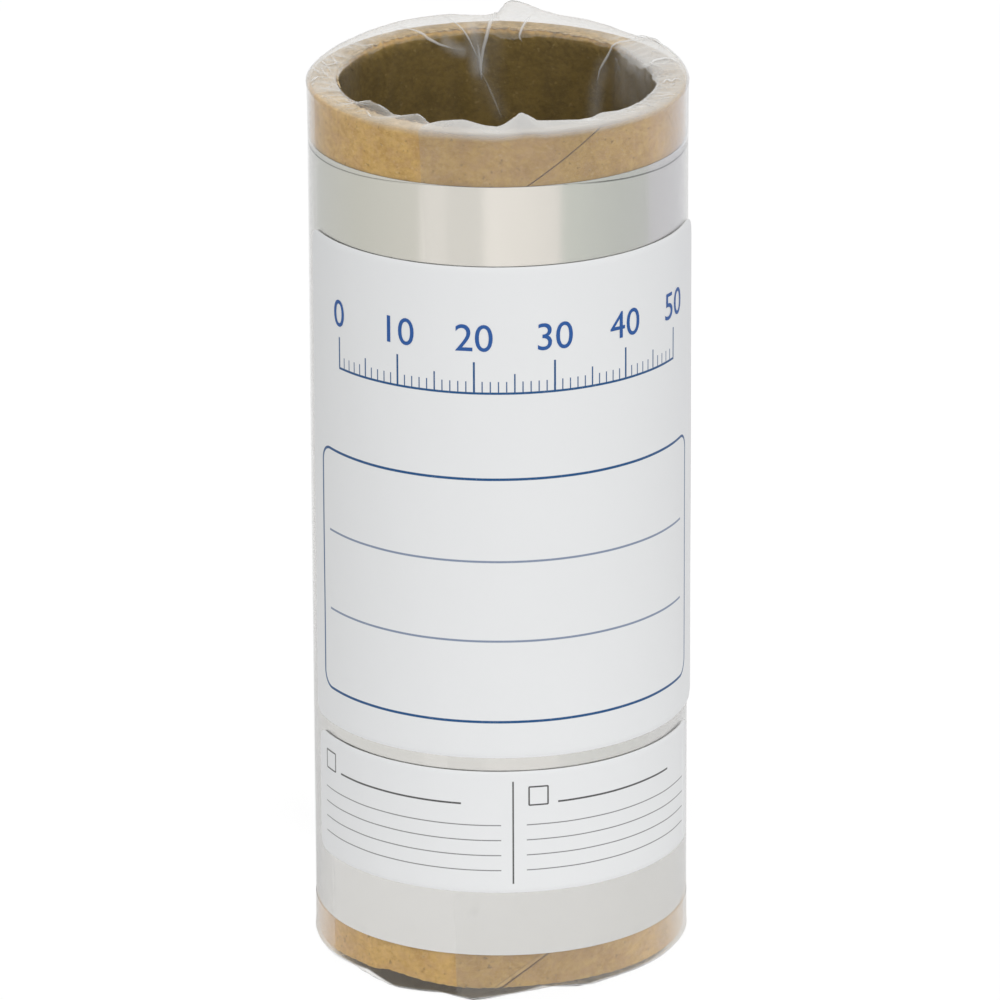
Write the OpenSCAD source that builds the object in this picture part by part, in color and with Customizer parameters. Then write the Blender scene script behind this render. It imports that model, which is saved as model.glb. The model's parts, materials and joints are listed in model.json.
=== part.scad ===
// Roll of shim stock: thin metal foil wound on a spiral paper tube, wrapped in
// clear film whose two ends are tucked into the bore, with two paper labels on it.
// It stands upright on the crushed lower end of the film, its axis along Z.

/* [Paper tube] */
// Outside diameter of the tube
tube_od = 46.4; // [44:0.1:60]
// Thickness of the tube's wall
tube_wall = 3.5; // [2.5:0.05:6]
// How far the tube stands out of the foil at its upper end
tube_above = 6.9; // [3:0.1:15]
// How far the tube stands out of the foil at its lower end
tube_below = 4.3; // [3:0.1:10]
// Broken edge at the cut ends
edge_break = 0.25; // [0.1:0.05:0.6]
// Rise of the outer ply's seam in one turn
seam_lead = 102; // [80:2:140]
// Width of the gap along the seam
seam_w = 0.3; // [0.2:0.05:0.6]
// Depth of the gap along the seam
seam_depth = 0.2; // [0.1:0.05:0.4]
// Direction of the seam at the tube's lower end, in degrees from the front
seam_turn = 0; // [-180:1:180]

/* [Foil coil] */
// Width of the foil strip
foil_w = 100; // [92:1:160]
// Number of turns on the tube
foil_turns = 7; // [3:1:12]
// Thickness of one turn with the air caught under it
turn_pitch = 0.03; // [0.02:0.005:0.08]
// How far the outermost turn has slid down along the tube
telescope = 0.2; // [0.1:0.1:2]

/* [Clear film] */
// Thickness of one layer of the film with the air caught under it
film_layer = 0.05; // [0.04:0.01:0.1]
// Room between the film and what it is wrapped round
film_gap = 0.02; // [0.01:0.01:0.05]
// How far the film's ends are tucked into the bore
tuck_len = 28; // [12:1:45]
// Height of the pleats over the tube's upper end
crown_h = 1.5; // [0.8:0.1:3]
// Extra height of the pointed fold at the back of the upper end
flap_h = 2.6; // [0.5:0.1:4]
// Depth of the crushed pleats that the roll stands on
foot_h = 1.7; // [0.8:0.1:2]
// Number of pleats round each end
pleats = 16; // [10:1:18]
// Width of the strip that only one layer covers
band_w = 17; // [8:1:30]
// Direction of the film's free edge at mid height, in degrees from the front
edge_turn = -18.5; // [-60:0.5:60]
// Lean of the film's free edge, in degrees round the axis for each millimetre up
edge_lean = -0.091; // [-0.2:0.001:0.2]

/* [Labels] */
// Thickness of the label paper
label_t = 0.12; // [0.08:0.01:0.3]
// Width of the main label round the roll
main_w = 66; // [50:1:68]
// Height of the main label
main_h = 63.7; // [40:0.1:72]
// Height of the main label's lower edge above the foil's lower edge
main_low = 26.4; // [25.1:0.1:28]
// Direction of the main label's middle, in degrees from the front
main_turn = 4.7; // [-20:0.1:20]
// Width of the small label round the roll
small_w = 63; // [50:1:68]
// Height of the small label
small_h = 16.1; // [8:0.1:16.5]
// Height of the small label's lower edge above the foil's lower edge
small_low = 8.5; // [1:0.1:8.5]
// Direction of the small label's middle, in degrees from the front
small_turn = 3.7; // [-20:0.1:20]
// Corner radius of both labels
label_corner = 2; // [0.5:0.1:3]
// Length of the main label's end that has come unstuck and stands off straight
lift_len = 4; // [1:0.1:6]

/* [Hidden] */
$fn = 96;

// Heights, from the crests of the film's foot upwards
film_t = 2 * film_layer;
tube_low = foot_h + film_gap + film_t;
foil_low = tube_low + tube_below;
foil_high = foil_low + foil_w + telescope;
tube_high = foil_high + tube_above;
foil_mid = (foil_low + foil_high) / 2;

// Radii, from the bore outwards
tube_r = tube_od / 2;
bore_r = tube_r - tube_wall;
foil_in = tube_r + film_gap;
foil_out = foil_in + foil_turns * turn_pitch;

// The film is a net of flat facets that lean with its free edge, so its corners lie
// a little outside a circle
facet_turn = 4.5;
sleeve_steps = 6;
lean_step = abs(edge_lean) * (foil_high - foil_low) / sleeve_steps;
sleeve_r = (foil_out + film_gap) / cos((facet_turn + lean_step) / 2);
liner_r = bore_r - film_gap;
label_in = sleeve_r + film_t + film_gap;

// Directions are in degrees from the front, which is -Y, and grow towards +X
function spot(turn, r, z) = [r * sin(turn), -r * cos(turn), z];

// The same direction between 0 and 360
function once_round(turn) = (turn % 360 + 360) % 360;

// Corners of the four-sided faces of a closed or open loft, split into triangles
function quad_faces(rings, corners, closed) = [
    for (i = [0:rings - (closed ? 1 : 2)], j = [0:corners - 1])
        let (
            next_i = (i + 1) % rings,
            next_j = (j + 1) % corners,
            a = i * corners + j,
            b = i * corners + next_j,
            c = next_i * corners + next_j,
            d = next_i * corners + j
        )
        each [[a, c, b], [a, d, c]]
];

// Paper tube
module paper_tube() {
    color("peru")
    difference() {
        translate([0, 0, tube_low])
            rotate_extrude()
                tube_profile(tube_high - tube_low);
        ply_seam(tube_high - tube_low);
    }
}

// Section of the wall with its broken edges
module tube_profile(length) {
    b = edge_break;
    polygon([
        [bore_r + b, 0], [tube_r - b, 0], [tube_r, b], [tube_r, length - b],
        [tube_r - b, length], [bore_r + b, length], [bore_r, length - b], [bore_r, b]
    ]);
}

// The gap where the edges of the outer paper ply meet, winding up round the tube
module ply_seam(length) {
    overrun = 1;
    lift_each = 1.5;
    steps = ceil((length + 2 * overrun) / lift_each);
    rise = atan(seam_lead / (2 * PI * tube_r));
    half_high = seam_w / cos(rise) / 2;
    section = [
        [tube_r - seam_depth, -half_high], [tube_r + overrun, -half_high],
        [tube_r + overrun, half_high], [tube_r - seam_depth, half_high]
    ];
    points = [
        for (i = [0:steps], p = section)
            let (up = -overrun + i * (length + 2 * overrun) / steps)
            spot(seam_turn + up * 360 / seam_lead, p[0], tube_low + up + p[1])
    ];
    last = len(points) - 4;
    polyhedron(points, concat(
        quad_faces(steps + 1, 4, false),
        [[0, 1, 2, 3], [last + 3, last + 2, last + 1, last]]
    ));
}

// Foil coil: each turn has slid down a little further than the one under it
module foil_coil() {
    color("silver")
    rotate_extrude()
        polygon(concat(
            [for (i = [0:foil_turns - 1]) each turn_edge(i, foil_low + telescope)],
            [for (i = [foil_turns - 1:-1:0]) each reversed(turn_edge(i, foil_high))]
        ));
}

// How far turn number i has slid down the tube
function slide(i) = telescope * pow(i / (foil_turns - 1), 3);

// Both corners of the edge of turn number i, which would be at height z unslid
function turn_edge(i, z) = [
    [foil_in + i * turn_pitch, z - slide(i)],
    [foil_in + (i + 1) * turn_pitch, z - slide(i)]
];

function reversed(list) = [for (i = [len(list) - 1:-1:0]) list[i]];

// Clear film: one sheet wound nearly twice round, its ends pleated over the tube's
// ends and tucked into the bore, lofted from one section for each direction
module clear_film() {
    sections = [for (s = film_stations()) film_section(s[0], s[1])];
    corners = len(sections[0]);
    color("lightcyan", 0.35)
        polyhedron(
            [for (section = sections) each section],
            quad_faces(len(sections), corners, true)
        );
}

// Directions past the free edge with the number of layers there: two layers all
// round, but one where the sheet's second turn stops short of its beginning
function film_stations() =
    let (
        band_turn = band_w / sleeve_r * 180 / PI,
        edge_step = 0.4,
        wrap_turn = 360 - band_turn - 2 * edge_step,
        wrap_steps = ceil(wrap_turn / facet_turn),
        band_steps = ceil(band_turn / facet_turn)
    )
    concat(
        [for (i = [0:wrap_steps]) [edge_step + i * wrap_turn / wrap_steps, 2]],
        [for (i = [0:band_steps]) [360 - band_turn + i * band_turn / band_steps, 1]]
    );

// How far the pleats rise, from 0 to 1, uneven in width and height
function pleat(turn, unevenness) =
    let (wave = abs(sin(pleats / 2 * turn + 26 * sin(2 * turn + unevenness) + 14 * sin(5 * turn))))
    pow(wave, 1.4) * (0.75 + 0.25 * sin(3 * turn + 2 * unevenness));

// Height of the film above the tube's upper end, fuller at the back and with a
// pointed fold there that is steep on one side
function crown(turn) =
    let (
        peak = 178,
        steep_side = 10,
        long_side = 38,
        away = once_round(turn) - peak,
        fold = max(0, 1 - (away > 0 ? away / steep_side : -away / long_side)),
        back = (1 - cos(turn)) / 2
    )
    crown_h * (0.15 + 0.25 * back + 0.6 * pleat(turn, 40)) + flap_h * fold;

// Depth of the film below the tube's lower end, crushed flat at the crests
function foot(turn) = foot_h * min(1, 0.3 + 1.3 * pleat(turn + 33, 10));

// Closed section of the film in one direction: the skin that lies on the roll, then
// back along the outer skin. Each row is a place on the inner skin and the way out.
function film_section(past_edge, layers) =
    let (
        turn = edge_turn + past_edge,
        up = crown(turn + edge_lean * (tube_high - foil_mid)),
        down = foot(turn + edge_lean * (tube_low - foil_mid)),
        top = tube_high + film_gap,
        base = tube_low - film_gap,
        corner = sqrt(0.5),
        near = bore_r + 0.3 * tube_wall,
        far = bore_r + 0.7 * tube_wall,
        sleeve = [
            for (i = [0:sleeve_steps])
                [sleeve_r, foil_high + i * (foil_low - foil_high) / sleeve_steps, 1, 0]
        ],
        path = [
            [liner_r, tube_high - tuck_len, -1, 0],
            [liner_r, tube_high - tuck_len / 2, -1, 0],
            [liner_r, tube_high - edge_break, -1, 0],
            [bore_r, top + 0.4 * up, -corner, corner],
            [near, top + 0.9 * up, 0, 1],
            [far, top + up, 0, 1],
            [tube_r, top + 0.6 * up, corner, corner],
            [sleeve_r, tube_high - edge_break, 1, 0],
            each sleeve,
            [sleeve_r, tube_low + edge_break, 1, 0],
            [tube_r, base - 0.7 * down, corner, -corner],
            [far, base - down, 0, -1],
            [near, base - down, 0, -1],
            [bore_r, base - 0.4 * down, -corner, -corner],
            [liner_r, tube_low + edge_break, -1, 0],
            [liner_r, tube_low + tuck_len / 2, -1, 0],
            [liner_r, tube_low + tuck_len, -1, 0]
        ],
        thick = layers * film_layer,
        inner = [for (p = path) [p[0], p[1]]],
        outer = [for (p = path) [p[0] + thick * p[2], p[1] + thick * p[3]]]
    )
    [
        for (p = concat(inner, reversed(outer)))
            spot(turn + edge_lean * (p[1] - foil_mid), p[0], p[1])
    ];

// Labels
module main_label() {
    color("white")
        label(main_w, main_h, foil_low + main_low, main_turn, lift_len);
}

module lower_label() {
    color("white")
        label(small_w, small_h, foil_low + small_low, small_turn, 0);
}

// A sheet of paper round the film, its right end straight for the length lift
module label(width, height, low, middle, lift) {
    span = (width - lift) / label_in * 180 / PI;
    half = width / 2 / label_in * 180 / PI;
    translate([0, 0, low])
    rotate([0, 0, middle + span - half])
    difference() {
        linear_extrude(height)
            label_edge(span, lift);
        rotate([0, 0, -span]) mirror([1, 0, 0]) corner_cutters(height, 0);
        corner_cutters(height, lift);
    }
}

// The label seen from above: it is stuck down up to the front, and straight past it
module label_edge(span, lift) {
    reach = 2 * label_in;
    intersection() {
        difference() {
            circle(label_in + label_t);
            circle(label_in);
        }
        translate([-reach, -reach]) square([reach, 2 * reach]);
        rotate(-span) translate([0, -reach]) square([reach, 2 * reach]);
    }
    if (lift > 0)
        translate([0, -label_in - label_t])
            square([lift, label_t]);
}

// Cutters that round both corners of a label's end, which lies at x = reach. Their
// circle reaches a little past the edges, so that it crosses them.
module corner_cutters(height, reach) {
    slack = 1;
    inset = label_corner - 0.02;
    for (upper = [0, 1])
        translate([reach - inset, -label_in, upper ? height - inset : inset])
        rotate([90, 0, 0])
        mirror([0, 1 - upper, 0])
        linear_extrude(4 * slack, center = true)
            difference() {
                square(label_corner + slack);
                circle(label_corner);
            }
}

paper_tube();
foil_coil();
clear_film();
main_label();
lower_label();
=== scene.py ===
"""Looks of a roll of shim foil: thin foil on a paper tube, wrapped in clear film, with two labels.

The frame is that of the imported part: Z runs up along the roll's axis and the labels face -Y.
Sizes in the classes are in millimetres, and meshes are made in metres. Directions round the roll
are in degrees from the front and grow towards +X.
"""

import json
import logging
import math
from dataclasses import dataclass, field
from enum import Enum, IntEnum
from typing import Any, Callable, ClassVar, Sequence

import bpy
import numpy as np
from mathutils import Matrix, Vector

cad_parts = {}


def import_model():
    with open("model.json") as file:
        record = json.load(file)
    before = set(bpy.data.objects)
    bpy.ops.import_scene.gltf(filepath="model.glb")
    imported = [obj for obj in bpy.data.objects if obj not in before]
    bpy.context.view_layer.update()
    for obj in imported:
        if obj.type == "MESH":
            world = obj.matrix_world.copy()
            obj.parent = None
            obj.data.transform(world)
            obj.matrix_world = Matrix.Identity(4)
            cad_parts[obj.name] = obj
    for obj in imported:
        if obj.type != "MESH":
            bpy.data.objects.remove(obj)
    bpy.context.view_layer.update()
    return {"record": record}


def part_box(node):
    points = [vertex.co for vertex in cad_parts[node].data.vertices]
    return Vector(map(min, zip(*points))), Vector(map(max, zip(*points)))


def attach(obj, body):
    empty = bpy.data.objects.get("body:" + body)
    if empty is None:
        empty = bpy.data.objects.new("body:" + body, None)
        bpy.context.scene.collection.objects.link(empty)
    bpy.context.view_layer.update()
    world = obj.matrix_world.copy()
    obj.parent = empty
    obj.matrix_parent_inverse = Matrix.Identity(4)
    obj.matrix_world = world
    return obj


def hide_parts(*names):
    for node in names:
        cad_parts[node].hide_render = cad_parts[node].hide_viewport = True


MM = 0.001
BODY = "root"
LOG = logging.getLogger("shim_roll")
# Millimetres of an unrolled sheet in one unit of its UV map.
UV_SPAN = 200.0
# Width of the soft edge of a printed line, in millimetres.
PRINT_SOFT = 0.04

Value = Any
Colour = tuple[float, float, float]
Pair = tuple[np.ndarray, np.ndarray]
# Rows of points, their haze, and the narrow folds on them.
Net = tuple[np.ndarray, np.ndarray, list[Pair]]


class Wire:
    """One output of a shader node, which takes part in Python expressions."""

    def __init__(self, graph: "Graph", socket: bpy.types.NodeSocket) -> None:
        """Keeps a socket.

        Args:
            graph: the graph that new nodes go to.
            socket: the output.
        """
        self.graph = graph
        self.socket = socket

    def maths(self, operation: str, *others: Value, swap: bool = False) -> "Wire":
        """Adds a Math node.

        Args:
            operation: the Math node's operation.
            others: the second and third values, as numbers or wires.
            swap: puts this wire after the first of the others.

        Returns:
            The node's result.
        """
        values = [self, *others]
        if swap:
            values[0], values[1] = values[1], values[0]
        return self.graph.node("ShaderNodeMath", {"operation": operation}, dict(enumerate(values)))

    def __add__(self, other: Value) -> "Wire":
        """Returns self + other."""
        return self.maths("ADD", other)

    __radd__ = __add__

    def __sub__(self, other: Value) -> "Wire":
        """Returns self - other."""
        return self.maths("SUBTRACT", other)

    def __rsub__(self, other: Value) -> "Wire":
        """Returns other - self."""
        return self.maths("SUBTRACT", other, swap=True)

    def __mul__(self, other: Value) -> "Wire":
        """Returns self * other."""
        return self.maths("MULTIPLY", other)

    __rmul__ = __mul__

    def __truediv__(self, other: Value) -> "Wire":
        """Returns self / other."""
        return self.maths("DIVIDE", other)

    def __pow__(self, other: Value) -> "Wire":
        """Returns self ** other."""
        return self.maths("POWER", other)

    def __mod__(self, other: Value) -> "Wire":
        """Returns self % other, floored."""
        return self.maths("FLOORED_MODULO", other)

    def __abs__(self) -> "Wire":
        """Returns the size of self without its sign."""
        return self.maths("ABSOLUTE")

    def __or__(self, other: Value) -> "Wire":
        """Returns the larger of two masks."""
        return self.maths("MAXIMUM", other)

    def __and__(self, other: Value) -> "Wire":
        """Returns the smaller of two masks."""
        return self.maths("MINIMUM", other)

    def rise(self, low: float, high: float) -> "Wire":
        """Makes a smooth step from 0 to 1.

        Args:
            low: where it starts.
            high: where it ends. It may be under low, and then 1 lies below it.

        Returns:
            The step.
        """
        settings = {"interpolation_type": "SMOOTHSTEP"}
        inputs = {"Value": self, "From Min": low, "From Max": high}
        if high < low:
            inputs = {"Value": self, "From Min": high, "From Max": low, "To Min": 1.0, "To Max": 0.0}
        return self.graph.node("ShaderNodeMapRange", settings, inputs)


class Graph:
    """The nodes of one material or world."""

    def __init__(self, tree: bpy.types.NodeTree) -> None:
        """Takes an empty node tree."""
        self.tree = tree

    def node(
        self,
        kind: str,
        settings: dict[str, Any] | None = None,
        inputs: dict[int | str, Value] | None = None,
        output: int | str = 0,
    ) -> Wire:
        """Adds one node of any type.

        Args:
            kind: the node's type name.
            settings: its own properties; "stops" gives a colour ramp's (place, colour) pairs.
            inputs: numbers, colours or wires for its sockets, by number or name.
            output: the output to return.

        Returns:
            The wire of that output.
        """
        made = self.tree.nodes.new(kind)
        for name, value in (settings or {}).items():
            if name == "stops":
                self.set_stops(made.color_ramp, value)
            else:
                setattr(made, name, value)
        for name, value in (inputs or {}).items():
            socket = made.inputs[name]
            if isinstance(value, Wire):
                self.tree.links.new(value.socket, socket)
            else:
                socket.default_value = value
        return Wire(self, made.outputs[output])

    @staticmethod
    def set_stops(ramp: bpy.types.ColorRamp, stops: Sequence[tuple[float, Sequence[float]]]) -> None:
        """Gives a colour ramp its stops, in order.

        Args:
            ramp: the colour ramp.
            stops: its places and colours.
        """
        while len(ramp.elements) < len(stops):
            ramp.elements.new(1.0)
        for element, (place, colour) in zip(ramp.elements, stops):
            element.position = place
            element.color = (*colour, 1.0)

    def mix(self, share: Value, first: Value, second: Value) -> Wire:
        """Blends two colours.

        Args:
            share: 0 gives the first and 1 the second.
            first: a colour or a wire.
            second: a colour or a wire.

        Returns:
            The blended colour.
        """
        inputs = {0: share, 6: self.colour(first), 7: self.colour(second)}
        return self.node("ShaderNodeMix", {"data_type": "RGBA"}, inputs, output=2)

    @staticmethod
    def colour(value: Value) -> Value:
        """Returns a wire as it is, and three numbers as a colour socket wants them."""
        return value if isinstance(value, Wire) else (*value, 1.0)

    def place(self) -> Wire:
        """Reads the place on the object.

        Returns:
            The point, in millimetres.
        """
        point = self.node("ShaderNodeTexCoord", output="Object")
        scale = (1 / MM,) * 3
        return self.node("ShaderNodeVectorMath", {"operation": "MULTIPLY"}, {0: point, 1: scale})

    def stretched(self, point: Wire, scale: Sequence[float]) -> Wire:
        """Returns a point with its coordinates multiplied by three numbers."""
        inputs = {0: point, 1: tuple(scale)}
        return self.node("ShaderNodeVectorMath", {"operation": "MULTIPLY"}, inputs)

    def parts(self, point: Wire) -> tuple[Wire, Wire, Wire]:
        """Splits a point.

        Args:
            point: the point.

        Returns:
            Its three coordinates.
        """
        split = self.node("ShaderNodeSeparateXYZ", inputs={0: point})
        outputs = split.socket.node.outputs
        return Wire(self, outputs[0]), Wire(self, outputs[1]), Wire(self, outputs[2])

    def noise(self, point: Wire, scale: float, detail: float = 3.0, rough: float = 0.5) -> Wire:
        """Returns cloudy noise around 0.5.

        Args:
            point: where to read it.
            scale: clouds for each unit of the point.
            detail: how many finer layers it has.
            rough: how strong the finer layers are.

        Returns:
            The noise.
        """
        inputs = {"Vector": point, "Scale": scale, "Detail": detail, "Roughness": rough}
        return self.node("ShaderNodeTexNoise", inputs=inputs)

    def bump(self, height: Wire, depth: float, strength: float = 1.0) -> Wire:
        """Returns a normal for a height from 0 to 1 that stands for depth millimetres."""
        inputs = {"Strength": strength, "Distance": depth * MM, "Height": height}
        return self.node("ShaderNodeBump", inputs=inputs)

    def mark(self, name: str) -> Wire:
        """Returns a number that is stored at the mesh's points."""
        return self.node("ShaderNodeAttribute", {"attribute_name": name}, output="Fac")

    def sheet_place(self) -> tuple[Wire, Wire]:
        """Reads the place on an unrolled sheet.

        Returns:
            Millimetres along it and up it.
        """
        point = self.node("ShaderNodeTexCoord", output="UV")
        along, up, _ = self.parts(self.stretched(point, (UV_SPAN, UV_SPAN, 1.0)))
        return along, up


def new_material(name: str) -> tuple[bpy.types.Material, Graph]:
    """Makes a material with an empty node tree.

    Args:
        name: the material's name.

    Returns:
        The material and its graph.
    """
    material = bpy.data.materials.new(name)
    material.use_nodes = True
    material.node_tree.nodes.clear()
    return material, Graph(material.node_tree)


def close(graph: Graph, shader: Wire, kind: str = "ShaderNodeOutputMaterial") -> None:
    """Joins a shader to the tree's output.

    Args:
        graph: the material's or the world's graph.
        shader: its last shader.
        kind: the output's node type.
    """
    output = graph.tree.nodes.new(kind)
    graph.tree.links.new(shader.socket, output.inputs["Surface"])


def scaled(colour: Colour, factor: float) -> Colour:
    """Returns a colour times a number."""
    red, green, blue = colour
    return factor * red, factor * green, factor * blue


@dataclass(frozen=True)
class Kraft:
    """Raw brown board of the tube.

    Args:
        pale: colour of its light fibres.
        deep: colour between them.
        pink: colour of its pinkish clouds.
        speck: colour of its dark specks, of the seam, and of the painted shadow line beside the seam.
        fleck: colour of its pale flecks.
        inner: colour of the bore's wall.
        inner_speck: colour of the pale specks on that wall.
        cut: colour of the sawn ends.
        torn: colour of the frayed strip beside the seam.
        rough: its roughness.
        relief: height of its fibres.
    """

    pale: Colour = (0.745, 0.475, 0.135)
    deep: Colour = (0.55, 0.318, 0.066)
    pink: Colour = (0.60, 0.355, 0.16)
    speck: Colour = (0.13, 0.07, 0.015)
    fleck: Colour = (0.80, 0.60, 0.30)
    inner: Colour = (0.165, 0.112, 0.031)
    inner_speck: Colour = (0.42, 0.30, 0.12)
    cut: Colour = (0.78, 0.60, 0.35)
    torn: Colour = (0.90, 0.66, 0.34)
    rough: float = 0.85
    relief: float = 0.09

    def material(self) -> bpy.types.Material:
        """Makes mottled board with fibres, specks, a dark seam, pale cut ends and a duller bore.

        Returns:
            The material.
        """
        material, graph = new_material("kraft_board")
        point = graph.place()
        clouds = graph.noise(point, 0.3, 3.0, 0.6)
        fibres = graph.noise(graph.stretched(point, (1.0, 1.0, 1.4)), 1.25, 4.0, 0.72)
        tone = (clouds * 0.5 + fibres * 0.7).rise(0.42, 0.76)
        pinkish = graph.noise(graph.stretched(point, (1.0, 1.0, 1.2)), 0.55, 2.0, 0.6).rise(0.42, 0.66)
        specks = graph.noise(point, 1.7, 2.0, 0.5).rise(0.66, 0.72)
        flecks = graph.noise(graph.stretched(point, (1.0, 1.0, 1.3)), 2.3, 1.0, 0.5).rise(0.65, 0.74)
        bore = graph.mix(tone, self.inner, scaled(self.inner, 1.5))
        bore = graph.mix(specks * 0.4, bore, self.inner_speck)
        layers = (
            (pinkish * 0.35, self.pink),
            (specks * 0.5, self.speck),
            (flecks * 0.35, self.fleck),
            (graph.mark("bore"), bore),
            (graph.mark("end") * 0.85, graph.mix(tone, scaled(self.cut, 0.62), self.cut)),
            (graph.mark("lip") * 0.4, self.torn),
            # The seam mark holds the seam's dark gap and a painted shadow line beside it near the foot.
            (graph.mark("seam") * 0.8, self.speck),
        )
        board = graph.mix(tone, self.deep, self.pale)
        for share, colour in layers:
            board = graph.mix(share, board, colour)
        normal = graph.bump(fibres + clouds * 0.5, self.relief, 0.8)
        inputs = {"Base Color": board, "Roughness": self.rough, "Normal": normal, "Specular IOR Level": 0.25}
        close(graph, graph.node("ShaderNodeBsdfPrincipled", inputs=inputs))
        return material


@dataclass(frozen=True)
class Foil:
    """Bright rolled foil.

    Args:
        tint: its colour.
        edge: colour of the shadow at a turn's cut edge.
        rough: how blurred its reflections are.
        smudge_rough: how much more blurred they are at smudges.
        line_rough: how much more blurred they are along rolling lines.
        relief: height of the rolling lines.
    """

    tint: Colour = (0.82, 0.81, 0.785)
    edge: Colour = (0.12, 0.12, 0.115)
    rough: float = 0.1
    smudge_rough: float = 0.12
    line_rough: float = 0.05
    relief: float = 0.002

    def material(self) -> bpy.types.Material:
        """Makes metal with fine rolling lines round the roll and a few blurred, darker smudges.

        Returns:
            The material.
        """
        material, graph = new_material("bright_foil")
        point = graph.place()
        lines = graph.noise(graph.stretched(point, (0.05, 0.05, 14.0)), 1.0, 3.0, 0.6)
        smudges = graph.noise(point, 0.28, 3.0, 0.55).rise(0.62, 0.8)
        rough = smudges * self.smudge_rough + lines * self.line_rough + self.rough
        base = graph.mix(smudges * 0.35, self.tint, scaled(self.tint, 0.86))
        base = graph.mix(graph.mark("edge"), base, self.edge)
        normal = graph.bump(lines, self.relief, 0.5)
        inputs = {"Base Color": base, "Metallic": 1.0, "Roughness": rough, "Normal": normal}
        close(graph, graph.node("ShaderNodeBsdfPrincipled", inputs=inputs))
        return material


@dataclass(frozen=True)
class ClearFilm:
    """Thin clear film, cloudy where it is creased, with painted light and shade over the board.

    Args:
        clear: colour of the light that it lets through.
        cloud: colour of its cloudy creases.
        warm_cloud: colour of the painted light over the board on the left, a warm haze.
        grey: colour of its grey places: the veil where it stands up, and over the board the film's grey with
            painted shade in front.
        streaks: how cloudy its faint upright streaks are.
        mirrored: share of the light that one face mirrors straight back.
        close_on_foil: how much of the outer layer's own reflection is lost where it lies on the foil.
        gloss_rough: how blurred its reflections are.
    """

    clear: Colour = (0.989, 0.989, 0.988)
    cloud: Colour = (0.88, 0.88, 0.875)
    warm_cloud: Colour = (0.97, 0.80, 0.60)
    grey: Colour = (0.25, 0.24, 0.22)
    streaks: float = 0.012
    mirrored: float = 0.03
    close_on_foil: float = 0.9
    gloss_rough: float = 0.09

    def material(self, foil_low: float, foil_high: float) -> bpy.types.Material:
        """Makes film that lets light through, scatters some at creases and mirrors the rest.
        Over the board it shows painted light at the roll's sides and partly painted shade in front.

        Args:
            foil_low: height of the foil's lower edge.
            foil_high: height of its upper edge.

        Returns:
            The material.
        """
        material, graph = new_material("clear_film")
        point = graph.place()
        x, _, up = graph.parts(point)
        board = up.rise(foil_high - 0.05, foil_high + 0.05) | up.rise(foil_low + 0.05, foil_low - 0.05)
        # Painted light: haze over the board at the roll's sides.
        over_board = graph.mark("over_board") * board
        streaks = graph.noise(graph.stretched(point, (1.0, 1.0, 0.35)), 0.5, 3.0, 0.6)
        haze = (graph.mark("cloud") | over_board) + streaks * self.streaks
        clear = graph.node("ShaderNodeBsdfTransparent", inputs={"Color": (*self.clear, 1.0)})
        # Grey share: the veil at the crest, and over the board the film's grey with painted shade in front.
        dull = graph.mark("board_grey") * board | graph.mark("grey")
        plain, warm_painted, grey = (
            graph.node("ShaderNodeBsdfDiffuse", inputs={"Color": (*colour, 1.0), "Roughness": 0.9})
            for colour in (self.cloud, self.warm_cloud, self.grey)
        )
        # The haze is white, and warm where the painted light falls over the board on the left.
        cloudy = self.blend(graph, x.rise(0.0, -10.0) & over_board * 8, plain, warm_painted)
        body = self.blend(graph, haze, self.blend(graph, dull, clear, grey), cloudy)
        inputs = {"Color": (1.0, 1.0, 1.0, 1.0), "Roughness": self.gloss_rough}
        gloss = graph.node("ShaderNodeBsdfGlossy", inputs=inputs)
        facing = graph.node("ShaderNodeLayerWeight", inputs={"Blend": 0.5}, output="Facing")
        one_face = facing**5 * (1 - self.mirrored) + self.mirrored
        both_faces = one_face * 2 / (one_face + 1)
        lost = graph.mark("outer") * (1 - board) * self.close_on_foil
        close(graph, self.blend(graph, both_faces * (1 - lost), body, gloss))
        return material

    @staticmethod
    def blend(graph: Graph, share: Wire, first: Wire, second: Wire) -> Wire:
        """Returns two shaders mixed, where a share of 0 gives the first and 1 the second."""
        return graph.node("ShaderNodeMixShader", inputs={0: share, 1: first, 2: second})


@dataclass(frozen=True)
class LabelPaper:
    """Smooth white label paper with plain printed lines.

    Args:
        name: the material's name.
        ink: colour of the print.
        print_mask: makes the mask of the printed places from the place on the sheet.
        cut_edge: how dark its cut edges are.
        white: colour of the paper.
        dirt: colour of its darker edges.
        rough: its roughness.
        relief: height of its grain.
    """

    name: str
    ink: Colour
    print_mask: Callable[[Wire, Wire], Wire]
    cut_edge: float = 0.25
    white: Colour = (0.83, 0.84, 0.848)
    dirt: Colour = (0.22, 0.21, 0.19)
    rough: float = 0.42
    relief: float = 0.01

    def material(self) -> bpy.types.Material:
        """Makes faintly mottled paper with its print and darker cut edges.

        Returns:
            The material.
        """
        material, graph = new_material(self.name)
        along, up = graph.sheet_place()
        point = graph.place()
        clouds = graph.noise(point, 0.12, 3.0, 0.5)
        grain = graph.noise(point, 3.5, 2.0, 0.6)
        thin_ink = graph.noise(point, 6.0, 2.0, 0.6).rise(0.25, 0.45) * 0.2 + 0.8
        paper = graph.mix(clouds * 0.25, self.white, scaled(self.white, 0.93))
        paper = graph.mix(self.print_mask(along, up) * thin_ink, paper, self.ink)
        # The cut edges are darker.
        paper = graph.mix(graph.mark("cut") * self.cut_edge, paper, self.dirt)
        normal = graph.bump(grain, self.relief, 0.4)
        inputs = {"Base Color": paper, "Roughness": self.rough, "Normal": normal, "Specular IOR Level": 0.4}
        close(graph, graph.node("ShaderNodeBsdfPrincipled", inputs=inputs))
        return material


def line_mask(distance: Wire, width: float) -> Wire:
    """Returns 1 within half a line's width of distance 0, with soft edges."""
    return abs(distance).rise(width / 2 + PRINT_SOFT, width / 2 - PRINT_SOFT)


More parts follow.
